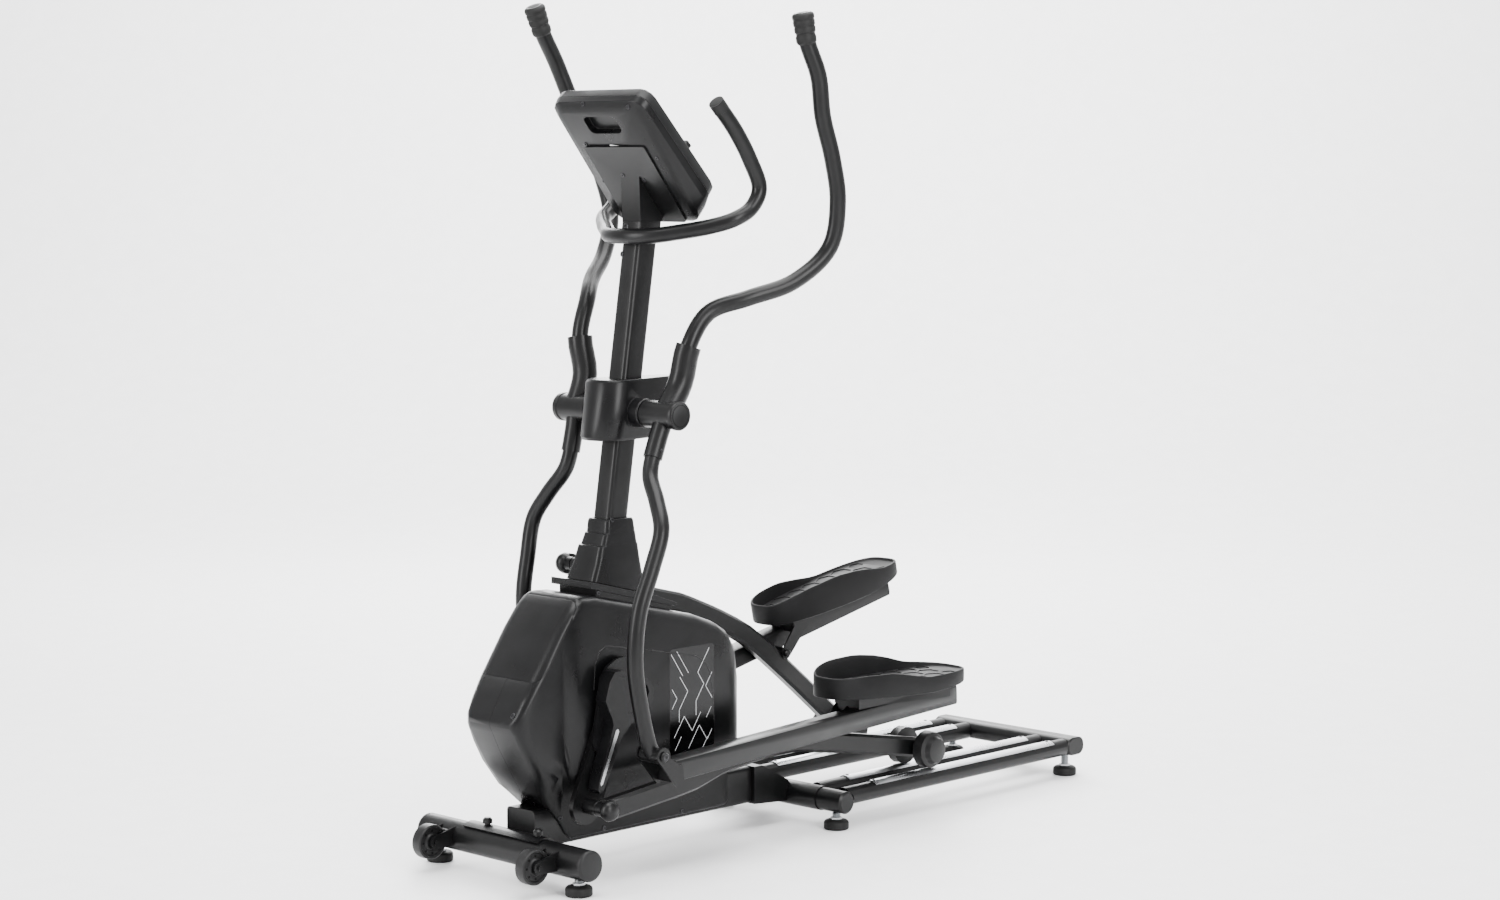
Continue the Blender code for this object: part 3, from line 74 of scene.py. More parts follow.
def material(name, base, rough, metal=0.0, fine=900.0, bump=0.05, spread=0.06, tint=0.25, scuff=None, scuff_amount=0.0, coat=0.0, brushed=None, ior=1.5, spec=0.5):
    """Principled shader with a fine grain, broad uneven gloss, and faint scuffs, all from noise in object space."""
    m = bpy.data.materials.new(name)
    m.use_nodes = True
    nt = m.node_tree
    b = nt.nodes["Principled BSDF"]
    tc = nt.nodes.new("ShaderNodeTexCoord")
    mp = nt.nodes.new("ShaderNodeMapping")
    if brushed:
        mp.inputs["Scale"].default_value = brushed
    nt.links.new(tc.outputs["Object"], mp.inputs["Vector"])
    broad = nt.nodes.new("ShaderNodeTexNoise")
    broad.inputs["Scale"].default_value = 14.0
    broad.inputs["Detail"].default_value = 6.0
    grain = nt.nodes.new("ShaderNodeTexNoise")
    grain.inputs["Scale"].default_value = fine
    grain.inputs["Detail"].default_value = 2.0
    nt.links.new(tc.outputs["Object"], broad.inputs["Vector"])
    nt.links.new(mp.outputs["Vector"], grain.inputs["Vector"])
    rr = nt.nodes.new("ShaderNodeMapRange")
    rr.inputs["From Min"].default_value = 0.3
    rr.inputs["From Max"].default_value = 0.7
    rr.inputs["To Min"].default_value = max(0.02, rough - spread)
    rr.inputs["To Max"].default_value = min(1.0, rough + spread)
    nt.links.new(broad.outputs["Fac"], rr.inputs["Value"])
    nt.links.new(rr.outputs["Result"], b.inputs["Roughness"])
    ramp = nt.nodes.new("ShaderNodeValToRGB")
    lo = [c * (1 - tint) for c in base] + [1.0]
    hi = [min(1.0, c * (1 + tint)) for c in base] + [1.0]
    ramp.color_ramp.elements[0].position, ramp.color_ramp.elements[0].color = 0.35, lo
    ramp.color_ramp.elements[1].position, ramp.color_ramp.elements[1].color = 0.65, hi
    nt.links.new(broad.outputs["Fac"], ramp.inputs["Fac"])
    col = ramp.outputs["Color"]
    if scuff:
        sc = nt.nodes.new("ShaderNodeTexNoise")
        sc.inputs["Scale"].default_value = 38.0
        sc.inputs["Detail"].default_value = 9.0
        sc.inputs["Roughness"].default_value = 0.75
        nt.links.new(tc.outputs["Object"], sc.inputs["Vector"])
        cut = nt.nodes.new("ShaderNodeMapRange")
        cut.inputs["From Min"].default_value = 0.62
        cut.inputs["From Max"].default_value = 0.76
        cut.inputs["To Max"].default_value = scuff_amount
        nt.links.new(sc.outputs["Fac"], cut.inputs["Value"])
        mix = nt.nodes.new("ShaderNodeMix")
        mix.data_type = "RGBA"
        nt.links.new(cut.outputs["Result"], mix.inputs["Factor"])
        nt.links.new(col, mix.inputs["A"])
        mix.inputs["B"].default_value = list(scuff) + [1.0]
        col = mix.outputs["Result"]
    nt.links.new(col, b.inputs["Base Color"])
    bp = nt.nodes.new("ShaderNodeBump")
    bp.inputs["Strength"].default_value = bump
    bp.inputs["Distance"].default_value = 0.0006
    nt.links.new(grain.outputs["Fac"], bp.inputs["Height"])
    nt.links.new(bp.outputs["Normal"], b.inputs["Normal"])
    b.inputs["Metallic"].default_value = metal
    b.inputs["IOR"].default_value = ior
    b.inputs["Coat Weight"].default_value = coat
    b.inputs["Specular IOR Level"].default_value = spec
    b.inputs["Coat Roughness"].default_value = 0.2
    return m


DUST = (0.16, 0.16, 0.165)
M = {
    "powder_coat": material("satin_black_paint", (0.0030, 0.0030, 0.0032), 0.33, fine=1100, bump=0.05, spread=0.05, scuff=DUST, scuff_amount=0.025, spec=0.22),
    "housing_plastic": material("housing_black_plastic", (0.0026, 0.0026, 0.0029), 0.31, fine=1700, bump=0.04, spread=0.05, scuff=DUST, scuff_amount=0.018, spec=0.20),
    "trim_plastic": material("trim_plastic_dark", (0.0045, 0.0045, 0.0048), 0.42, fine=1300, bump=0.08, scuff=DUST, scuff_amount=0.03, spec=0.24),
    "grip_rubber": material("rubber_black", (0.0040, 0.0040, 0.0040), 0.62, fine=800, bump=0.16, scuff=DUST, scuff_amount=0.05, spec=0.25),
    "pedal_plastic": material("pedal_plastic_dark", (0.0045, 0.0045, 0.0048), 0.56, fine=700, bump=0.12, scuff=DUST, scuff_amount=0.03, spec=0.13),
    "wheel_plastic": material("wheel_plastic_dark", (0.0050, 0.0050, 0.0052), 0.42, fine=900, bump=0.10, scuff=DUST, scuff_amount=0.05, spec=0.26),
    "rail_aluminium": material("brushed_aluminium", (0.66, 0.67, 0.69), 0.30, metal=1.0, fine=260, bump=0.14, spread=0.07, tint=0.06, brushed=(0.05, 4.0, 4.0), scuff=(0.30, 0.30, 0.31), scuff_amount=0.30),
    "zinc_steel": material("zinc_plated_steel", (0.46, 0.47, 0.48), 0.34, metal=1.0, fine=500, bump=0.12, spread=0.08, tint=0.10, scuff=(0.2, 0.2, 0.2), scuff_amount=0.3),
    "cast_flywheel": material("cast_flywheel_grey", (0.20, 0.20, 0.21), 0.42, metal=1.0, fine=300, bump=0.35, spread=0.1, tint=0.12),
    "display_glass": material("display_cover", (0.020, 0.026, 0.032), 0.10, fine=300, bump=0.02, spread=0.03, coat=0.6),
}
DARK_STEEL = material("blackened_steel", (0.030, 0.030, 0.032), 0.30, metal=0.8, fine=700, bump=0.15, spread=0.08, scuff=(0.3, 0.3, 0.3), scuff_amount=0.25)
SEAM_DARK = material("seam_shadow", (0.0012, 0.0012, 0.0012), 0.7, fine=900, bump=0.1, spec=0.1)
SOFT_EDGE = material("moulded_edge", (0.0045, 0.0045, 0.0048), 0.28, fine=1700, bump=0.05, spec=0.35)
DECAL_TOP = material("decal_upper_film", (0.0048, 0.0048, 0.0052), 0.24, fine=2200, bump=0.03, spread=0.04, scuff=DUST, scuff_amount=0.02, spec=0.25)
DECAL_LOW = material("decal_lower_film", (0.0012, 0.0012, 0.0013), 0.12, fine=2200, bump=0.02, spread=0.03, scuff=DUST, scuff_amount=0.01, spec=0.16)
LINE = material("decal_line_print", (0.52, 0.53, 0.54), 0.40, fine=2500, bump=0.08, spread=0.08, tint=0.12, scuff=(0.2, 0.2, 0.2), scuff_amount=0.4)
LABEL = material("blank_label_film", (0.72, 0.72, 0.70), 0.45, fine=1500, bump=0.08, tint=0.05, scuff=(0.4, 0.4, 0.4), scuff_amount=0.2)
INSERT = material("silver_insert", (0.34, 0.345, 0.35), 0.28, metal=1.0, fine=600, bump=0.08, spread=0.06, tint=0.08)

# ---------------------------------------------------------------- mesh helpers


def link(name, verts, faces, mat, sharp=38.0):
    me = bpy.data.meshes.new(name)
    me.from_pydata([tuple(v) for v in verts], [], [tuple(f) for f in faces])
    me.validate()
    ob = bpy.data.objects.new(name, me)
    bpy.context.scene.collection.objects.link(ob)
    me.materials.append(mat)
    me.polygons.foreach_set("use_smooth", [True] * len(me.polygons))
    me.set_sharp_from_angle(angle=math.radians(sharp))
    return ob


def skinned(node, sharp=38.0):
    """A welded, smooth-shaded twin of a CAD node."""
    src = NODES[node].data
    co = np.array([v.co for v in src.vertices], float)
    key = {}
    idx = []
    verts = []
    for p in np.round(co, 6):
        t = tuple(p)
        if t not in key:
            key[t] = len(verts)
            verts.append(t)
        idx.append(key[t])
    faces = []
    for p in src.polygons:
        f = [idx[v] for v in p.vertices]
        if len(set(f)) == len(f):
            faces.append(f)
    ob = link(node + "_skin", verts, faces, M[SLOT_OF[node]], sharp)
    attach(ob, BODY_OF[node])
    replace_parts(ob, node)
    return ob


def circle(r, n):
    a = np.linspace(0, 2 * math.pi, n, endpoint=False)
    return np.stack([r * np.cos(a), r * np.sin(a)], 1)


def skin(rings):
    n = len(rings[0])
    verts = [tuple(p) for ring in rings for p in ring]
    faces = []
    for k in range(len(rings) - 1):
        for i in range(n):
            j = (i + 1) % n
            faces.append((k * n + i, k * n + j, (k + 1) * n + j, (k + 1) * n + i))
    faces.append(tuple(range(n))[::-1])
    faces.append(tuple((len(rings) - 1) * n + i for i in range(n)))
    return verts, faces


def turning(P, up):
    P = np.asarray(P, float)
    t = np.zeros_like(P)
    t[1:-1] = P[2:] - P[:-2]
    t[0] = P[1] - P[0]
    t[-1] = P[-1] - P[-2]
    t /= np.linalg.norm(t, axis=1)[:, None]
    u = np.array(up, float)
    out = []
    for k in range(len(P)):
        n = u - t[k] * (u @ t[k])
        n /= np.linalg.norm(n)
        out.append((n, np.cross(t[k], n)))
        u = n
    return out


def sweep(P, r, n=36, up=(1, 0, 0), scale=None):
    P = np.asarray(P, float)
    fr = turning(P, up)
    rings = []
    for k in range(len(P)):
        s = 1.0 if scale is None else scale[k]
        a, b = fr[k]
        rings.append([P[k] + s * (x * a + y * b) for x, y in circle(r, n)])
    return skin(rings)


def smooth_path(P, per=8):
    P = np.asarray(P, float)
    Q = np.vstack([2 * P[0] - P[1], P, 2 * P[-1] - P[-2]])
    out = []
    for k in range(1, len(Q) - 2):
        p0, p1, p2, p3 = Q[k - 1], Q[k], Q[k + 1], Q[k + 2]
        t0 = 0.0
        t1 = t0 + np.linalg.norm(p1 - p0) ** 0.5
        t2 = t1 + np.linalg.norm(p2 - p1) ** 0.5
        t3 = t2 + np.linalg.norm(p3 - p2) ** 0.5
        for i in range(per):
            t = t1 + (t2 - t1) * i / per
            a1 = p0 * (t1 - t) / (t1 - t0) + p1 * (t - t0) / (t1 - t0)
            a2 = p1 * (t2 - t) / (t2 - t1) + p2 * (t - t1) / (t2 - t1)
            a3 = p2 * (t3 - t) / (t3 - t2) + p3 * (t - t2) / (t3 - t2)
            b1 = a1 * (t2 - t) / (t2 - t0) + a2 * (t - t0) / (t2 - t0)
            b2 = a2 * (t3 - t) / (t3 - t1) + a3 * (t - t1) / (t3 - t1)
            out.append(b1 * (t2 - t) / (t2 - t1) + b2 * (t - t1) / (t2 - t1))
    out.append(P[-1])
    return np.array(out)


def lathe(prof, centre, axis="Y", n=48):
    """Turned (radius, along) profile; radius 0 closes on the axis."""
    ang = np.linspace(0, 2 * math.pi, n, endpoint=False)
    verts, idx = [], []
    for r, a in prof:
        if r < 1e-9:
            idx.append([len(verts)] * n)
            verts.append((0.0, 0.0, a))
        else:
            idx.append(list(range(len(verts), len(verts) + n)))
            verts += [(r * math.cos(t), r * math.sin(t), a) for t in ang]
    faces = []
    m = len(prof)
    for k in range(m):
        p, q = idx[k], idx[(k + 1) % m]
        if p[0] == p[1] and q[0] == q[1]:
            continue
        for i in range(n):
            j = (i + 1) % n
            if p[0] == p[1]:
                faces.append((p[0], q[j], q[i]))
            elif q[0] == q[1]:
                faces.append((p[i], p[j], q[0]))
            else:
                faces.append((p[i], p[j], q[j], q[i]))
    c = centre
    if axis == "Y":
        verts = [(c[0] + x, c[1] + z, c[2] + y) for x, y, z in verts]
    elif axis == "X":
        verts = [(c[0] + z, c[1] + x, c[2] + y) for x, y, z in verts]
    else:
        verts = [(c[0] + x, c[1] + y, c[2] + z) for x, y, z in verts]
    return verts, faces


def joined(*parts):
    V, F = [], []
    for v, f in parts:
        b = len(V)
        V += list(v)
        F += [tuple(b + i for i in q) for q in f]
    return V, F


def mirrored(v, f):
    return [(x, -y, z) for x, y, z in v], [tuple(q)[::-1] for q in f]


def turned(v, f, pivot, a):
    c, s = math.cos(a), math.sin(a)
    return [(pivot[0] + (x - pivot[0]) * c - (z - pivot[1]) * s, y, pivot[1] + (x - pivot[0]) * s + (z - pivot[1]) * c) for x, y, z in v], f


def moved(v, f):
    return [(x + DX, y, z) for x, y, z in v], f


def piece(name, vf, mat, body, replaces=None, sharp=38.0):
    v, f = moved(*vf)
    ob = link(name, v, f, mat, sharp)
    me = ob.data
    me.update()
    import bmesh
    bm = bmesh.new()
    bm.from_mesh(me)
    bmesh.ops.recalc_face_normals(bm, faces=bm.faces)
    bm.to_mesh(me)
    bm.free()
    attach(ob, body)
    if replaces:
        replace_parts(ob, replaces)
    return ob


# ---------------------------------------------------------------- smooth tubes that stand for the faceted ones
T = (0.301, 0.881)
SL = (T[0] + 0.650 * math.sin(-0.1764), T[1] - 0.650 * math.cos(-0.1764))
STEP = 0.2157
LOWER = [(0.302, -0.127, 0.881), (0.280, -0.126, 0.830), (0.254, -0.134, 0.770), (0.232, -0.175, 0.720), (0.211, -0.209, 0.670), (0.182, -0.213, 0.600), (0.150, -0.211, 0.520), (0.140, -0.210, 0.420), (0.157, -0.208, 0.330),
         (0.177, -0.208, 0.260), (SL[0], -0.209, SL[1])]
UPPER = [(0.301, -0.127, 0.880), (0.340, -0.129, 0.940), (0.353, -0.140, 1.013), (0.398, -0.151, 1.077), (0.460, -0.196, 1.104), (0.543, -0.240, 1.135), (0.610, -0.274, 1.201), (0.616, -0.290, 1.290), (0.596, -0.294, 1.375),
         (0.569, -0.293, 1.456), (0.551, -0.298, 1.534), (0.524, -0.293, 1.600), (0.512, -0.292, 1.655)]
low, up = smooth_path(LOWER), smooth_path(UPPER)
swing = joined(
    lathe([(0.0105, -0.0785), (0.0255, -0.0785), (0.0270, -0.0800), (0.0270, -0.1580), (0.0285, -0.1590), (0.0285, -0.1672), (0.0272, -0.1694), (0.0256, -0.1705), (0.0245, -0.1698), (0, -0.1698), (0, -0.1640), (0.0105, -0.1640)], (T[0], 0, T[1])),
    sweep(up[0:17:2], 0.0249, 40),
    sweep(low[0:13], 0.0189, 36),
    sweep(low, 0.0159, 36),
    lathe([(0, -0.185), (0.0148, -0.185), (0.0155, -0.1858), (0.0155, -0.2322), (0.0148, -0.2330), (0, -0.2330)], (SL[0], 0, SL[1])),
)
tube_p = up[9:]
tube = sweep(tube_p, 0.0166, 40)
end = up[-1]
d = (up[-1] - up[-4]) / np.linalg.norm(up[-1] - up[-4])
G = [(-0.062, 0.0160), (-0.060, 0.0180), (-0.057, 0.0198), (-0.047, 0.0202), (-0.044, 0.0188), (-0.040, 0.0188), (-0.038, 0.0206), (-0.030, 0.0210), (-0.0285, 0.0200), (-0.0265, 0.0200), (-0.025, 0.0212), (-0.017, 0.0215),
     (-0.0155, 0.0205), (-0.0135, 0.0205), (-0.012, 0.0217), (-0.006, 0.0219), (-0.0025, 0.0200), (-0.0005, 0.0160), (0.0003, 0.0100)]
grip = sweep([end + d * a for a, r in G], 1.0, 40, scale=[r for a, r in G])
for sd in ("left", "right"):
    for nm, vf, slot, rep in (("swing", swing, "powder_coat", "swing_"), ("handle", tube, "powder_coat", "handle_"), ("handle_grip", grip, "grip_rubber", None)):
        w = vf
        if sd == "right":
            w = turned(*mirrored(*vf), T, STEP)
        piece("%s_%s_skin" % (nm, sd), w, M[slot], "swing_%s_body" % sd, rep + sd if rep else None)

half = [(0.314, 0.0, 1.224), (0.318, -0.030, 1.224), (0.330, -0.060, 1.225), (0.362, -0.100, 1.232), (0.400, -0.150, 1.243), (0.434, -0.186, 1.258), (0.470, -0.196, 1.280), (0.488, -0.200, 1.316), (0.462, -0.200, 1.372), (0.420, -0.200, 1.430), (0.368, -0.200, 1.483)]
full = [(x, -y, z) for x, y, z in half[:0:-1]] + half
bar = smooth_path(full)
piece("fixed_handlebar_skin", sweep(bar, 0.0154, 40), M["powder_coat"], "frame", "fixed_handlebar")
for k, sd in ((0, "right"), (-1, "left")):
    e0 = bar[k]
    d0 = bar[1] - bar[0] if k == 0 else bar[-2] - bar[-1]
    d0 = d0 / np.linalg.norm(d0)
    prof = [(-0.0004, 0.0100), (0.0002, 0.0140), (0.0012, 0.0157), (0.022, 0.0158), (0.0225, 0.0150)]
    piece("handlebar_plug_" + sd, sweep([e0 + d0 * a for a, r in prof], 1.0, 36, scale=[r for a, r in prof]), M["grip_rubber"], "frame")

# turned parts with round silhouettes
TW = (-0.070, 0.058)
for s, sd in ((-1, "left"), (1, "right")):
    y = s * 0.150
    wheel = [lathe([(0.0054, -0.0125), (0.0150, -0.0125), (0.016, -0.0115), (0.018, -0.009), (0.026, -0.009), (0.028, -0.0120), (0.0315, -0.0125), (0.0338, -0.0105), (0.0340, -0.009), (0.0340, 0.009), (0.0338, 0.0105), (0.0315, 0.0125), (0.028, 0.0120), (0.026, 0.009), (0.018, 0.009), (0.016, 0.0115), (0.0150, 0.0125), (0.0054, 0.0125)], (TW[0], y, TW[1]))]
    piece("transport_wheel_%s_skin" % sd, wheel[0], M["wheel_plastic"], "wheel_" + sd, "transport_wheel_" + sd)
    # near-black discs on both wheel faces: painted shade standing for the shade inside the wheel's holes
    dots = []
    for q in (-1, 1):
        for k in range(8):
            a = 2 * math.pi * k / 8
            dots.append(lathe([(0, -0.0002), (0.0024, -0.0002), (0.0024, 0.0002), (0, 0.0002)], (TW[0] + 0.0220 * math.cos(a), y + q * 0.00915, TW[1] + 0.0220 * math.sin(a)), n=14))
    piece("transport_wheel_%s_holes" % sd, joined(*dots), SEAM_DARK, "wheel_" + sd)
    cap = [(0, s * 0.0098), (0.0245, s * 0.0098), (0.0275, s * 0.0090), (0.0294, s * 0.0068), (0.0300, s * 0.0045), (0.0300, s * 0.0003), (0.0271, s * 0.0003), (0.0271, s * -0.018), (0, s * -0.018)]
    piece("stabilizer_cap_%s_skin" % sd, lathe(cap, (0, s * 0.228, 0.0604)), M["trim_plastic"], "frame", "stabilizer_cap_" + sd)
    for x, yy, top, nm in ((0.0, 0.202, 0.0304, "front"), (0.750, 0.168, 0.0345, "mid"), (1.512, 0.165, 0.048, "rear")):
        piece("foot_%s_%s_skin" % (nm, sd), lathe([(0, 0.0001), (0.0240, 0.0001), (0.0255, 0.0012), (0.0260, 0.0030), (0.0260, 0.0135), (0.0250, 0.0160), (0.0220, 0.0185), (0.0085, 0.0208), (0, 0.0208)], (x, s * yy, 0), "Z"), M["grip_rubber"], "frame", "foot_%s_%s" % (nm, sd))
        th = [(0, 0.0205)]
        z = 0.0206
        while z < top - 0.0016:
            th += [(0.0074, z), (0.0084, z + 0.0006)]
            z += 0.0012
        th += [(0.0074, top - 0.0004), (0, top - 0.0004)]
        nut = [(0, 0.0206), (0.0125, 0.0206), (0.0125, 0.0245), (0, 0.0245)]
        piece("foot_stem_%s_%s" % (nm, sd), joined(lathe(th, (x, s * yy, 0), "Z", 24), lathe(nut, (x, s * yy, 0), "Z", 6)), M["zinc_steel"], "frame")

# ---------------------------------------------------------------- pedals: a smooth dish with the honeycomb tread cut in
O0 = (0.208, 0.3506)


def side_pose(side):
    th, sw = 0.4016, -0.1764
    A = (O0[0] - 0.2333 * math.sin(th), O0[1] - 0.2333 * math.cos(th))
    if side == "right":
        A = (2 * O0[0] - A[0], 2 * O0[1] - A[1])
        sw += STEP
    R = (A[0] + math.sqrt(0.9122 ** 2 - (A[1] - 0.1275) ** 2), 0.1275)
    la = math.atan2(R[1] - A[1], R[0] - A[0])
    P = (A[0] + 0.6477 * math.cos(la) - 0.0695 * math.sin(la), A[1] + 0.6477 * math.sin(la) + 0.0695 * math.cos(la))
    return P, (T[0] + 0.650 * math.sin(sw), T[1] - 0.650 * math.cos(sw))


PLp, SLp = side_pose("left")
PRp, SRp = side_pose("right")
ARM_D = math.atan2(PRp[1] - SRp[1], PRp[0] - SRp[0]) - math.atan2(PLp[1] - SLp[1], PLp[0] - SLp[0])


def pedal_outline(dd, n=112):
    cx, a = 0.940, 0.205 - dd
    pts = []
    for k in range(n):
        t = 2 * math.pi * (k + 0.5) / n
        ct, st = math.cos(t), math.sin(t)
        e = 2 / 2.9 if ct < 0 else 2 / 3.6
        x = a * math.copysign(abs(ct) ** e, ct)
        y = (0.0747 - dd) * math.copysign(abs(st) ** e, st)
        if x > 0:
            y *= 1 - 0.13 * (x / a) ** 2
        pts.append((cx + x, -0.145 + y))
    return pts


def blur(f, x, h=0.014):
    return sum(f(x + h * q) for q in (-1, -0.5, 0, 0.5, 1)) / 5


def rim_z(x, y):
    zi = blur(lambda q: float(np.interp(q, [0.735, 0.77, 0.82, 0.90, 0.95, 1.01, 1.06, 1.145], [0.313, 0.325, 0.332, 0.333, 0.329, 0.316, 0.301, 0.2925])), x)
    zo = blur(lambda q: float(np.interp(q, [0.735, 0.80, 0.87, 0.93, 0.98, 1.145], [0.313, 0.3165, 0.315, 0.304, 0.293, 0.2915])), x)
    w = min(1.0, max(0.0, (y + 0.145) / 0.075 * 0.5 + 0.5))
    w = 3 * w * w - 2 * w ** 3
    return zo + (zi - zo) * w


def skirt_z(x):
    return blur(lambda q: float(np.interp(q, [0.735, 0.80, 0.93, 1.00, 1.08, 1.145], [0.270, 0.268, 0.2605, 0.2575, 0.2600, 0.2640])), x)


o = {dd: pedal_outline(dd) for dd in (0.0, 0.0008, 0.0022, 0.003, 0.0035, 0.0045, 0.006, 0.0070, 0.0075)}
PR_RINGS = [[(x, y, 0.2724) for x, y in o[0.0070]], [(x, y, skirt_z(x) + 0.0003) for x, y in o[0.003]], [(x, y, skirt_z(x) + 0.0015) for x, y in o[0.0008]], [(x, y, skirt_z(x) + 0.004) for x, y in o[0.0]],
            [(x, y, rim_z(x, y) - 0.003) for x, y in o[0.0]], [(x, y, rim_z(x, y) - 0.0010) for x, y in o[0.0008]], [(x, y, rim_z(x, y) - 0.0002) for x, y in o[0.0022]], [(x, y, rim_z(x, y) - 0.0003) for x, y in o[0.0035]],
            [(x, y, rim_z(x, y) - 0.0012) for x, y in o[0.0045]], [(x, y, max(0.2878, rim_z(x, y) - 0.010)) for x, y in o[0.006]], [(x, y, 0.287) for x, y in o[0.0075]]]
HEX = []
for row, yy in enumerate((-0.0400, 0.0, 0.0400)):
    for col in range(6 if row == 1 else 7):
        hx = 0.7935 + col * 0.0490 + (0.0245 if row == 1 else 0.0)
        nar, inset = 1.0, 1.0
        if row != 1 and col == 0:
            nar, inset, hx = 0.60, 0.935, hx + 0.006
        if row != 1 and col == 6:
            nar, inset = 0.70, 0.955
        poly = [(hx + 0.0253 * nar * math.cos(math.radians(30 + 60 * k)), -0.145 + yy * inset + 0.0253 * 0.92 * nar * math.sin(math.radians(30 + 60 * k))) for k in range(6)]
        HEX.append(skin([[(x, y, z) for x, y in poly] for z in (0.2854, 0.40)]))
HEX.append(lathe([(0, 0.2805), (0.0060, 0.2805), (0.0060, 0.32), (0, 0.32)], (0.965, -0.145, 0), "Z", 20))
import bmesh


def closed(ob):
    bm = bmesh.new()
    bm.from_mesh(ob.data)
    bmesh.ops.recalc_face_normals(bm, faces=bm.faces)
    bm.to_mesh(ob.data)
    bm.free()
    return ob


body = closed(link("pedal_body", *skin(PR_RINGS), M["pedal_plastic"]))
cutter = closed(link("pedal_cutter", *joined(*HEX), M["pedal_plastic"]))
bo = body.modifiers.new("b", "BOOLEAN")
bo.operation, bo.solver, bo.object = "DIFFERENCE", "EXACT", cutter
bpy.context.view_layer.update()
dm = bpy.data.meshes.new_from_object(body.evaluated_get(bpy.context.evaluated_depsgraph_get()))
pedal = ([tuple(v.co) for v in dm.vertices], [tuple(p.vertices) for p in dm.polygons])
bpy.data.objects.remove(body)
bpy.data.objects.remove(cutter)


def posed(v, f, p0, p1, a):
    c, s = math.cos(a), math.sin(a)
    return [(p1[0] + (x - p0[0]) * c - (z - p0[1]) * s, y, p1[1] + (x - p0[0]) * s + (z - p0[1]) * c) for x, y, z in v], f


piece("pedal_left_skin", pedal, M["pedal_plastic"], "arm_left", "pedal_left")
piece("pedal_right_skin", posed(*mirrored(*pedal), SLp, SRp, ARM_D), M["pedal_plastic"], "arm_right", "pedal_right")

# ---------------------------------------------------------------- every other node: a welded smooth twin
done = set()
for o in list(bpy.data.objects):
    done |= set(o.get("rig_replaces", []))
twins = {}
for n in sorted(NODES):
    if n not in done:
        twins[n] = skinned(n, 50.0 if n.startswith(("housing", "pedal_left", "pedal_right")) else 38.0)
for n in ("mast", "pivot_shroud", "mast_collar", "mast_cover", "console_back", "console_front", "crank_cover_left", "crank_cover_right", "console_bracket"):
    bv = twins[n].modifiers.new("edge", "BEVEL")
    bv.width = 0.0007
    bv.segments = 2
    bv.limit_method = "ANGLE"
    bv.angle_limit = math.radians(40)
    bv.harden_normals = False

# ---------------------------------------------------------------- camera, and places on the surface read along its rays
CAM = Vector((-4.39095, -4.2059, 1.3572))
ROT = Euler((math.radians(84.5245), 0.0, math.radians(-45.79)), "XYZ")
FPX = 70.67 / 36.0 * 1500.0
RM = ROT.to_matrix()
TREES = {}
dg = bpy.context.evaluated_depsgraph_get()
for n, o in twins.items():
    TREES[n] = BVHTree.FromObject(o, dg)


def ray(px, py):
    return (RM @ Vector(((px - 750) / FPX, -(py - 450) / FPX, -1.0))).normalized()


def hit(px, py, names=None):
    best = None
    r = ray(px, py)
    for n in names or TREES:
        loc, nor, _, dist = TREES[n].ray_cast(CAM, r)
        if loc is not None and (best is None or dist < best[3]):
            best = (loc, nor if nor.dot(r) < 0 else -nor, n, dist)
    return best


def at_y(px, py, y):
    r = ray(px, py)
    p = CAM + r * ((y - CAM.y) / r.y)
    return (p.x - DX, p.z)


def disc_on(name, loc, nor, body, r, h, mat, n=24, slot=True, sink=0.0006, socket=True, slot_name=None):
    """A screw head: low dome with a socket, standing on a surface."""
    q = nor.to_track_quat("Z", "Y")
    prof = [(0, -sink), (r, -sink), (r, h * 0.6), (r * 0.86, h), (r * 0.5, h), (r * 0.42, h * 0.25), (0, h * 0.25)] if socket else [(0, -sink), (r, -sink), (r, h * 0.7), (r * 0.9, h), (0, h)]
    v, f = lathe(prof, (0, 0, 0), "Z", n)
    v = [tuple(loc + q @ Vector(p)) for p in v]
    ob = link(name, v, f, mat)
    import bmesh
    bm = bmesh.new()
    bm.from_mesh(ob.data)
    bmesh.ops.recalc_face_normals(bm, faces=bm.faces)
    bm.to_mesh(ob.data)
    bm.free()
    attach(ob, body)
    return ob


SCREWS = [("housing_nose", 513, 716, 0.0055, ["housing_left", "housing_front_cover"]), ("housing_skirt_front", 604, 828, 0.005, ["housing_left"]), ("housing_skirt_rear", 682, 811, 0.005, ["housing_left"]),
          ("housing_skirt_low", 560, 818, 0.005, ["housing_left"]), ("collar", 598, 593, 0.005, None), ("back_top_right", 628, 107, 0.0042, ["console_back"]), ("back_top_left", 583, 104, 0.0042, ["console_back"]),
          ("back_mid_left", 586, 144, 0.0042, ["console_back"]), ("back_mid_right", 657, 158, 0.0042, ["console_back"]), ("back_low", 604, 181, 0.0042, ["console_back"]), ("bracket_a", 623, 175, 0.0050, None),
          ("bracket_b", 644, 180, 0.0050, None), ("mast_top", 622, 254, 0.0055, ["mast"]), ("mast_bolt", 626, 227, 0.0075, None), ("mast_low", 612, 520, 0.0045, ["mast", "mast_cover"])]
for nm, px, py, r, names in SCREWS:
    h = hit(px, py, names)
    if h and BODY_OF[h[2]] == "frame":
        disc_on("screw_" + nm, h[0], h[1], "frame", r, 0.0016, DARK_STEEL)

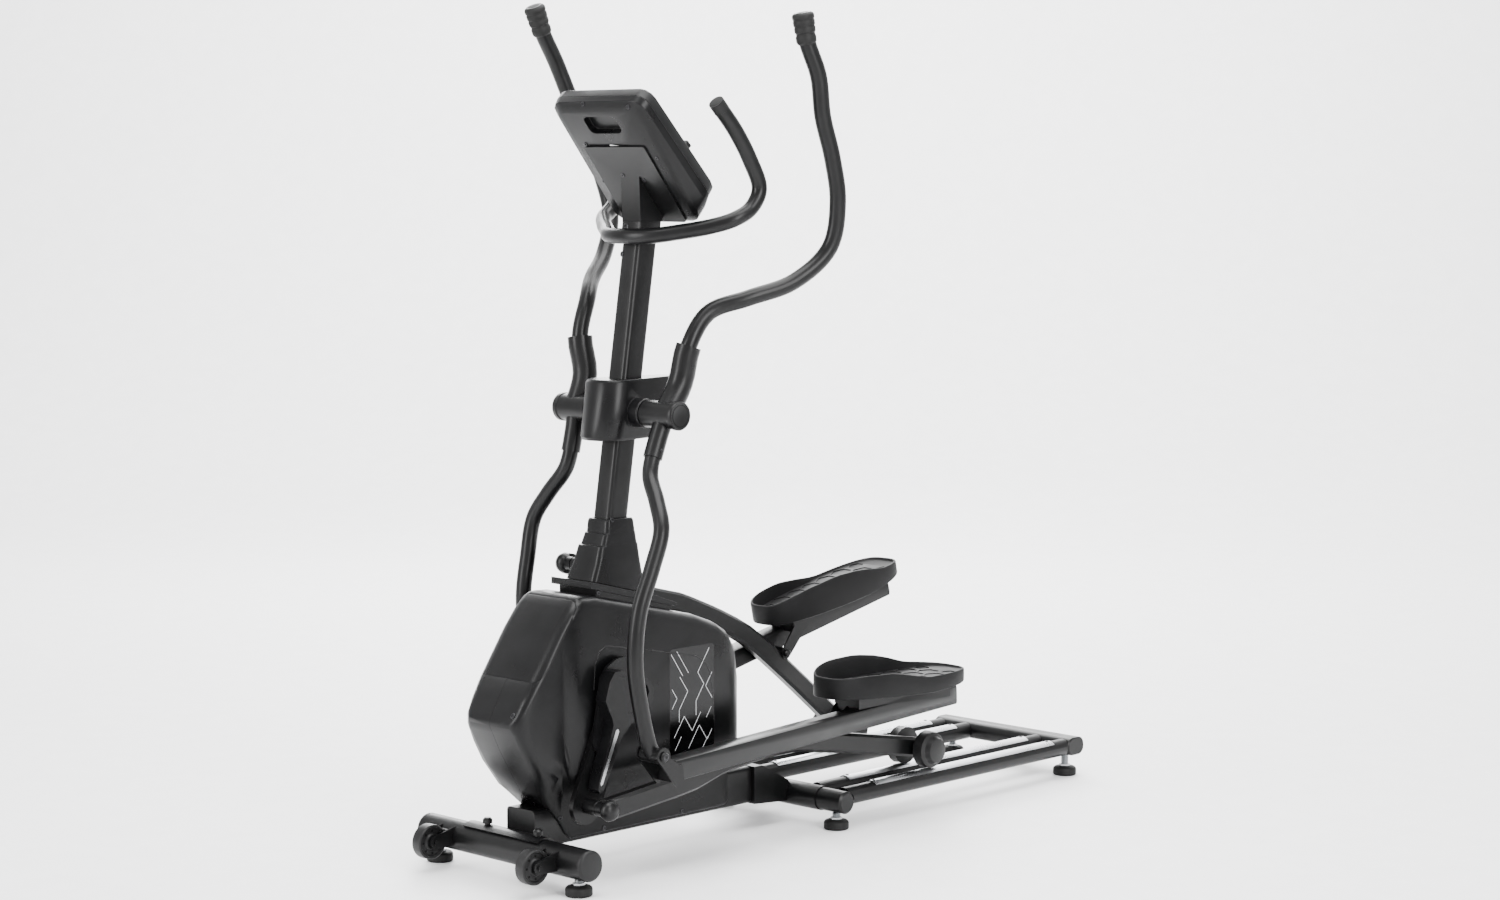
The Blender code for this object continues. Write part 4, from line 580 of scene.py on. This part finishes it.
# screws of the swing arm sockets, on both sides
for sd in ("left", "right"):
    c = up[12]
    v = lathe([(0, -0.0253), (0.0042, -0.0253), (0.0042, -0.0240), (0, -0.0240)], (float(c[0]), float(c[1]), float(c[2])), n=18)
    v2 = lathe([(0, -0.0187), (0.0035, -0.0198), (0.0035, -0.0180), (0, -0.0180)], (float(low[10][0]), float(low[10][1]), float(low[10][2])), n=18)
    vf = joined(v, v2)
    if sd == "right":
        vf = turned(*mirrored(*vf), T, STEP)
    piece("socket_screws_" + sd, vf, DARK_STEEL, "swing_%s_body" % sd)
    # thin near-black ring: painted shade in the seam around the hub cap
    ring = lathe([(0.0205, -0.17000), (0.0215, -0.17000), (0.0215, -0.16975), (0.0205, -0.16975)], (T[0], 0, T[1]))
    if sd == "right":
        ring = turned(*mirrored(*ring), T, STEP)
    piece("hub_cap_ring_" + sd, ring, SEAM_DARK, "swing_%s_body" % sd)

# ---------------------------------------------------------------- crank cover inserts
O = np.array([0.208, 0.3506])
TH = 0.4016
U = np.array([-math.sin(TH), -math.cos(TH)])
W = np.array([-U[1], U[0]])


def prism(poly, y0, y1):
    return skin([[(x, y0, z) for x, z in poly], [(x, y1, z) for x, z in poly]])


def on_crank(a, s):
    q = O + U * a + W * s
    return (float(q[0]), float(q[1]))


STRIP = [(0.0812, -0.0153), (0.0775, -0.011), (0.0812, -0.0067), (0.1872, -0.0087), (0.1918, -0.012), (0.1872, -0.0153)]
for sd in ("left", "right"):
    ins = prism([on_crank(*p) for p in STRIP], -0.1331, -0.1322)
    if sd == "right":
        ins = turned(*mirrored(*ins), (O[0], O[1]), math.pi)
    piece("crank_insert_" + sd, ins, INSERT, "crank")

# ---------------------------------------------------------------- side decals with a plain line pattern, one on each side
P0, P1 = (0.352, 0.190), (0.476, 0.410)


def panel_poly(x0, z0, x1, z1, r=0.007):
    pts = []
    for cx, cz, a0 in ((x1 - r, z1 - r, 0), (x0 + r, z1 - r, 90), (x0 + r, z0 + r, 180), (x1 - r, z0 + r, 270)):
        for k in range(5):
            t = math.radians(a0 + 22.5 * k)
            pts.append((cx + r * math.cos(t), cz + r * math.sin(t)))
    return pts


def stroke(a, b, w=0.0011, y0=-0.08575, y1=-0.08545):
    a, b = np.array(a, float), np.array(b, float)
    t = (b - a) / np.linalg.norm(b - a)
    n = np.array([-t[1], t[0]]) * w / 2
    return prism([tuple(a - n), tuple(b - n), tuple(b + n), tuple(a + n)], y0, y1)


ZIG = [[(0.462, 0.402), (0.430, 0.356), (0.447, 0.331), (0.425, 0.299), (0.425, 0.270)], [(0.380, 0.352), (0.402, 0.321), (0.378, 0.286), (0.378, 0.262)], [(0.470, 0.352), (0.452, 0.326), (0.470, 0.300)],
       [(0.358, 0.330), (0.372, 0.310), (0.358, 0.290)], [(0.356, 0.400), (0.388, 0.354)], [(0.372, 0.404), (0.404, 0.358)], [(0.364, 0.232), (0.392, 0.272), (0.414, 0.240), (0.438, 0.275)],
       [(0.404, 0.206), (0.434, 0.249), (0.456, 0.217), (0.470, 0.237)], [(0.366, 0.206), (0.384, 0.232)], [(0.442, 0.200), (0.458, 0.223)], [(0.454, 0.262), (0.468, 0.282)]]
for s, sd in ((-1, "left"), (1, "right")):
    up_p = prism(panel_poly(P0[0], P0[1], P1[0], P1[1]), -0.08535, -0.0850)
    low_p = prism(panel_poly(P0[0] + 0.0008, P0[1] + 0.0008, P1[0] - 0.0008, 0.272, 0.0062), -0.0855, -0.0852)
    lines = joined(*[stroke(z[i], z[i + 1]) for z in ZIG for i in range(len(z) - 1)])
    for nm, vf, mt in (("film", up_p, DECAL_TOP), ("film_low", low_p, DECAL_LOW), ("lines", lines, LINE)):
        piece("decal_%s_%s" % (nm, sd), vf if s < 0 else mirrored(*vf), mt, "frame")

# raised moulded outline of the side panel, both sides
OUT = [at_y(px, py, -0.0851) for px, py in ((594, 690), (595, 665), (599, 652), (606, 646), (650, 650), (696, 656), (705, 662), (710, 672), (713, 696), (714, 722))]
vf = sweep([(x, -0.0850, z) for x, z in OUT], 0.0011, 10, up=(0, 1, 0))
piece("panel_outline_left", vf, SOFT_EDGE, "frame")
piece("panel_outline_right", mirrored(*vf), SOFT_EDGE, "frame")

# ---------------------------------------------------------------- rails: end screws of the strips; console back label
scr = []
for s in (-1, 1):
    for yy in (0.104, 0.178):
        for x in (0.853, 1.430):
            scr.append(lathe([(0, 0.0), (0.0038, 0.0), (0.0036, 0.0010), (0.0018, 0.0013), (0.0014, 0.0005), (0, 0.0005)], (x, s * yy, 0.067 + 0.0211), "Z", 16))
piece("strip_screws", joined(*scr), DARK_STEEL, "frame")

lab = [hit(px, py, ["console_back"]) for px, py in ((610, 144.5), (621, 146), (621, 151), (610, 149.5))]
if all(lab):
    nor = lab[0][1]
    v = [tuple(h[0] + nor * e) for e in (0.0001, 0.0004) for h in lab]
    ob = link("console_label", v, [(3, 2, 1, 0), (4, 5, 6, 7), (0, 1, 5, 4), (1, 2, 6, 5), (2, 3, 7, 6), (3, 0, 4, 7)], LABEL)
    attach(ob, "frame")

# console face: a pale reading on the display cover, made of plain bars
CT, CD, CN = np.array([0.260, 1.510]), np.array([0.68443, -0.72906]), np.array([0.72906, 0.68443])


def con(s, t, y):
    q = CT + CD * s + CN * t
    return (float(q[0]), y, float(q[1]))


def con_box(s0, s1, y0, y1, t0, t1):
    return skin([[con(s0, t, y0), con(s1, t, y0), con(s1, t, y1), con(s0, t, y1)] for t in (t0, t1)])


bars = [con_box(0.034 + 0.012 * k, 0.0355 + 0.012 * k, -0.085, -0.085 + w, -0.00075, -0.00055) for k, w in enumerate((0.05, 0.11, 0.08, 0.14, 0.06, 0.12))]
piece("display_marks", joined(*bars), material("display_segments", (0.24, 0.27, 0.25), 0.3, fine=1500, bump=0.02), "frame")

# closing plug in the front end of the main beam
piece("beam_front_plug", skin([[(x, -0.0372, 0.0558), (x, 0.0372, 0.0558), (x, 0.0372, 0.1262), (x, -0.0372, 0.1262)] for x in (0.0350, 0.0400)]), M["trim_plastic"], "frame")

# clevis bolt heads at the feet of the swing arms
AY = -0.2450
for sd, ctr in (("left", SL), ("right", (T[0] + 0.650 * math.sin(-0.1764 + STEP), T[1] - 0.650 * math.cos(-0.1764 + STEP)))):
    vf = lathe([(0, AY + 0.001), (0.0070, AY + 0.001), (0.0070, AY - 0.0004), (0.0060, AY - 0.0007), (0.0032, AY - 0.0007), (0.0030, AY + 0.0006), (0, AY + 0.0006)], (ctr[0], 0, ctr[1]), n=24)
    piece("clevis_bolt_" + sd, vf if sd == "left" else mirrored(*vf), DARK_STEEL, "arm_" + sd)

# ---------------------------------------------------------------- stage
floor_mat = material("pale_floor", (0.86, 0.86, 0.865), 0.55, fine=60, bump=0.02, spread=0.04, tint=0.015)
prof = [(-9.0, -0.0004), (4.2, -0.0004)]
for k in range(1, 25):
    t = math.radians(90 * k / 24)
    prof.append((4.2 + 3.2 * math.sin(t), -0.0004 + 3.2 * (1 - math.cos(t))))
prof += [(7.4, 9.0)]
ya = math.radians(45.79)
dirv, sidev = np.array([math.sin(ya), math.cos(ya)]), np.array([math.cos(ya), -math.sin(ya)])
fv, ff = [], []
for dd, zz in prof:
    for ss in (-14.0, 14.0):
        q = dirv * dd + sidev * ss
        fv.append((q[0], q[1], zz))
for k in range(len(prof) - 1):
    ff.append((2 * k, 2 * k + 1, 2 * k + 3, 2 * k + 2))
floor = link("studio_floor", fv, ff, floor_mat, 60)
world = bpy.data.worlds.new("studio")
bpy.context.scene.world = world
world.use_nodes = True
bg = world.node_tree.nodes["Background"]
bg.inputs["Color"].default_value = (1.0, 1.0, 1.0, 1.0)
bg.inputs["Strength"].default_value = 1.35


def area(name, loc, target, size, size_y, power):
    li = bpy.data.lights.new(name, "AREA")
    li.shape = "RECTANGLE"
    li.size, li.size_y, li.energy = size, size_y, power
    ob = bpy.data.objects.new(name, li)
    bpy.context.scene.collection.objects.link(ob)
    ob.location = loc
    ob.rotation_euler = (Vector(target) - Vector(loc)).to_track_quat("-Z", "Y").to_euler()
    return ob


area("softbox_top", (0.2, -0.3, 4.2), (0, 0, 0.6), 4.5, 3.0, 420)
area("backdrop_wash", (3.2, 3.0, 5.2), (5.2, 5.0, 1.0), 7.0, 3.0, 900)
area("softbox_left", (-1.2, -4.0, 2.2), (0, 0, 0.8), 1.6, 3.0, 190)
area("strip_front", (-4.2, 0.9, 2.0), (0, 0, 0.8), 1.2, 3.0, 150)
area("rim_back", (2.6, 3.2, 2.6), (0, 0, 0.9), 2.4, 2.0, 160)

cam = bpy.data.cameras.new("camera")
cam.lens = 70.67
cam.sensor_width = 36.0
cam.clip_start, cam.clip_end = 0.05, 100.0
cam.dof.use_dof = False
co = bpy.data.objects.new("camera", cam)
bpy.context.scene.collection.objects.link(co)
co.location = CAM
co.rotation_euler = ROT
bpy.context.scene.camera = co
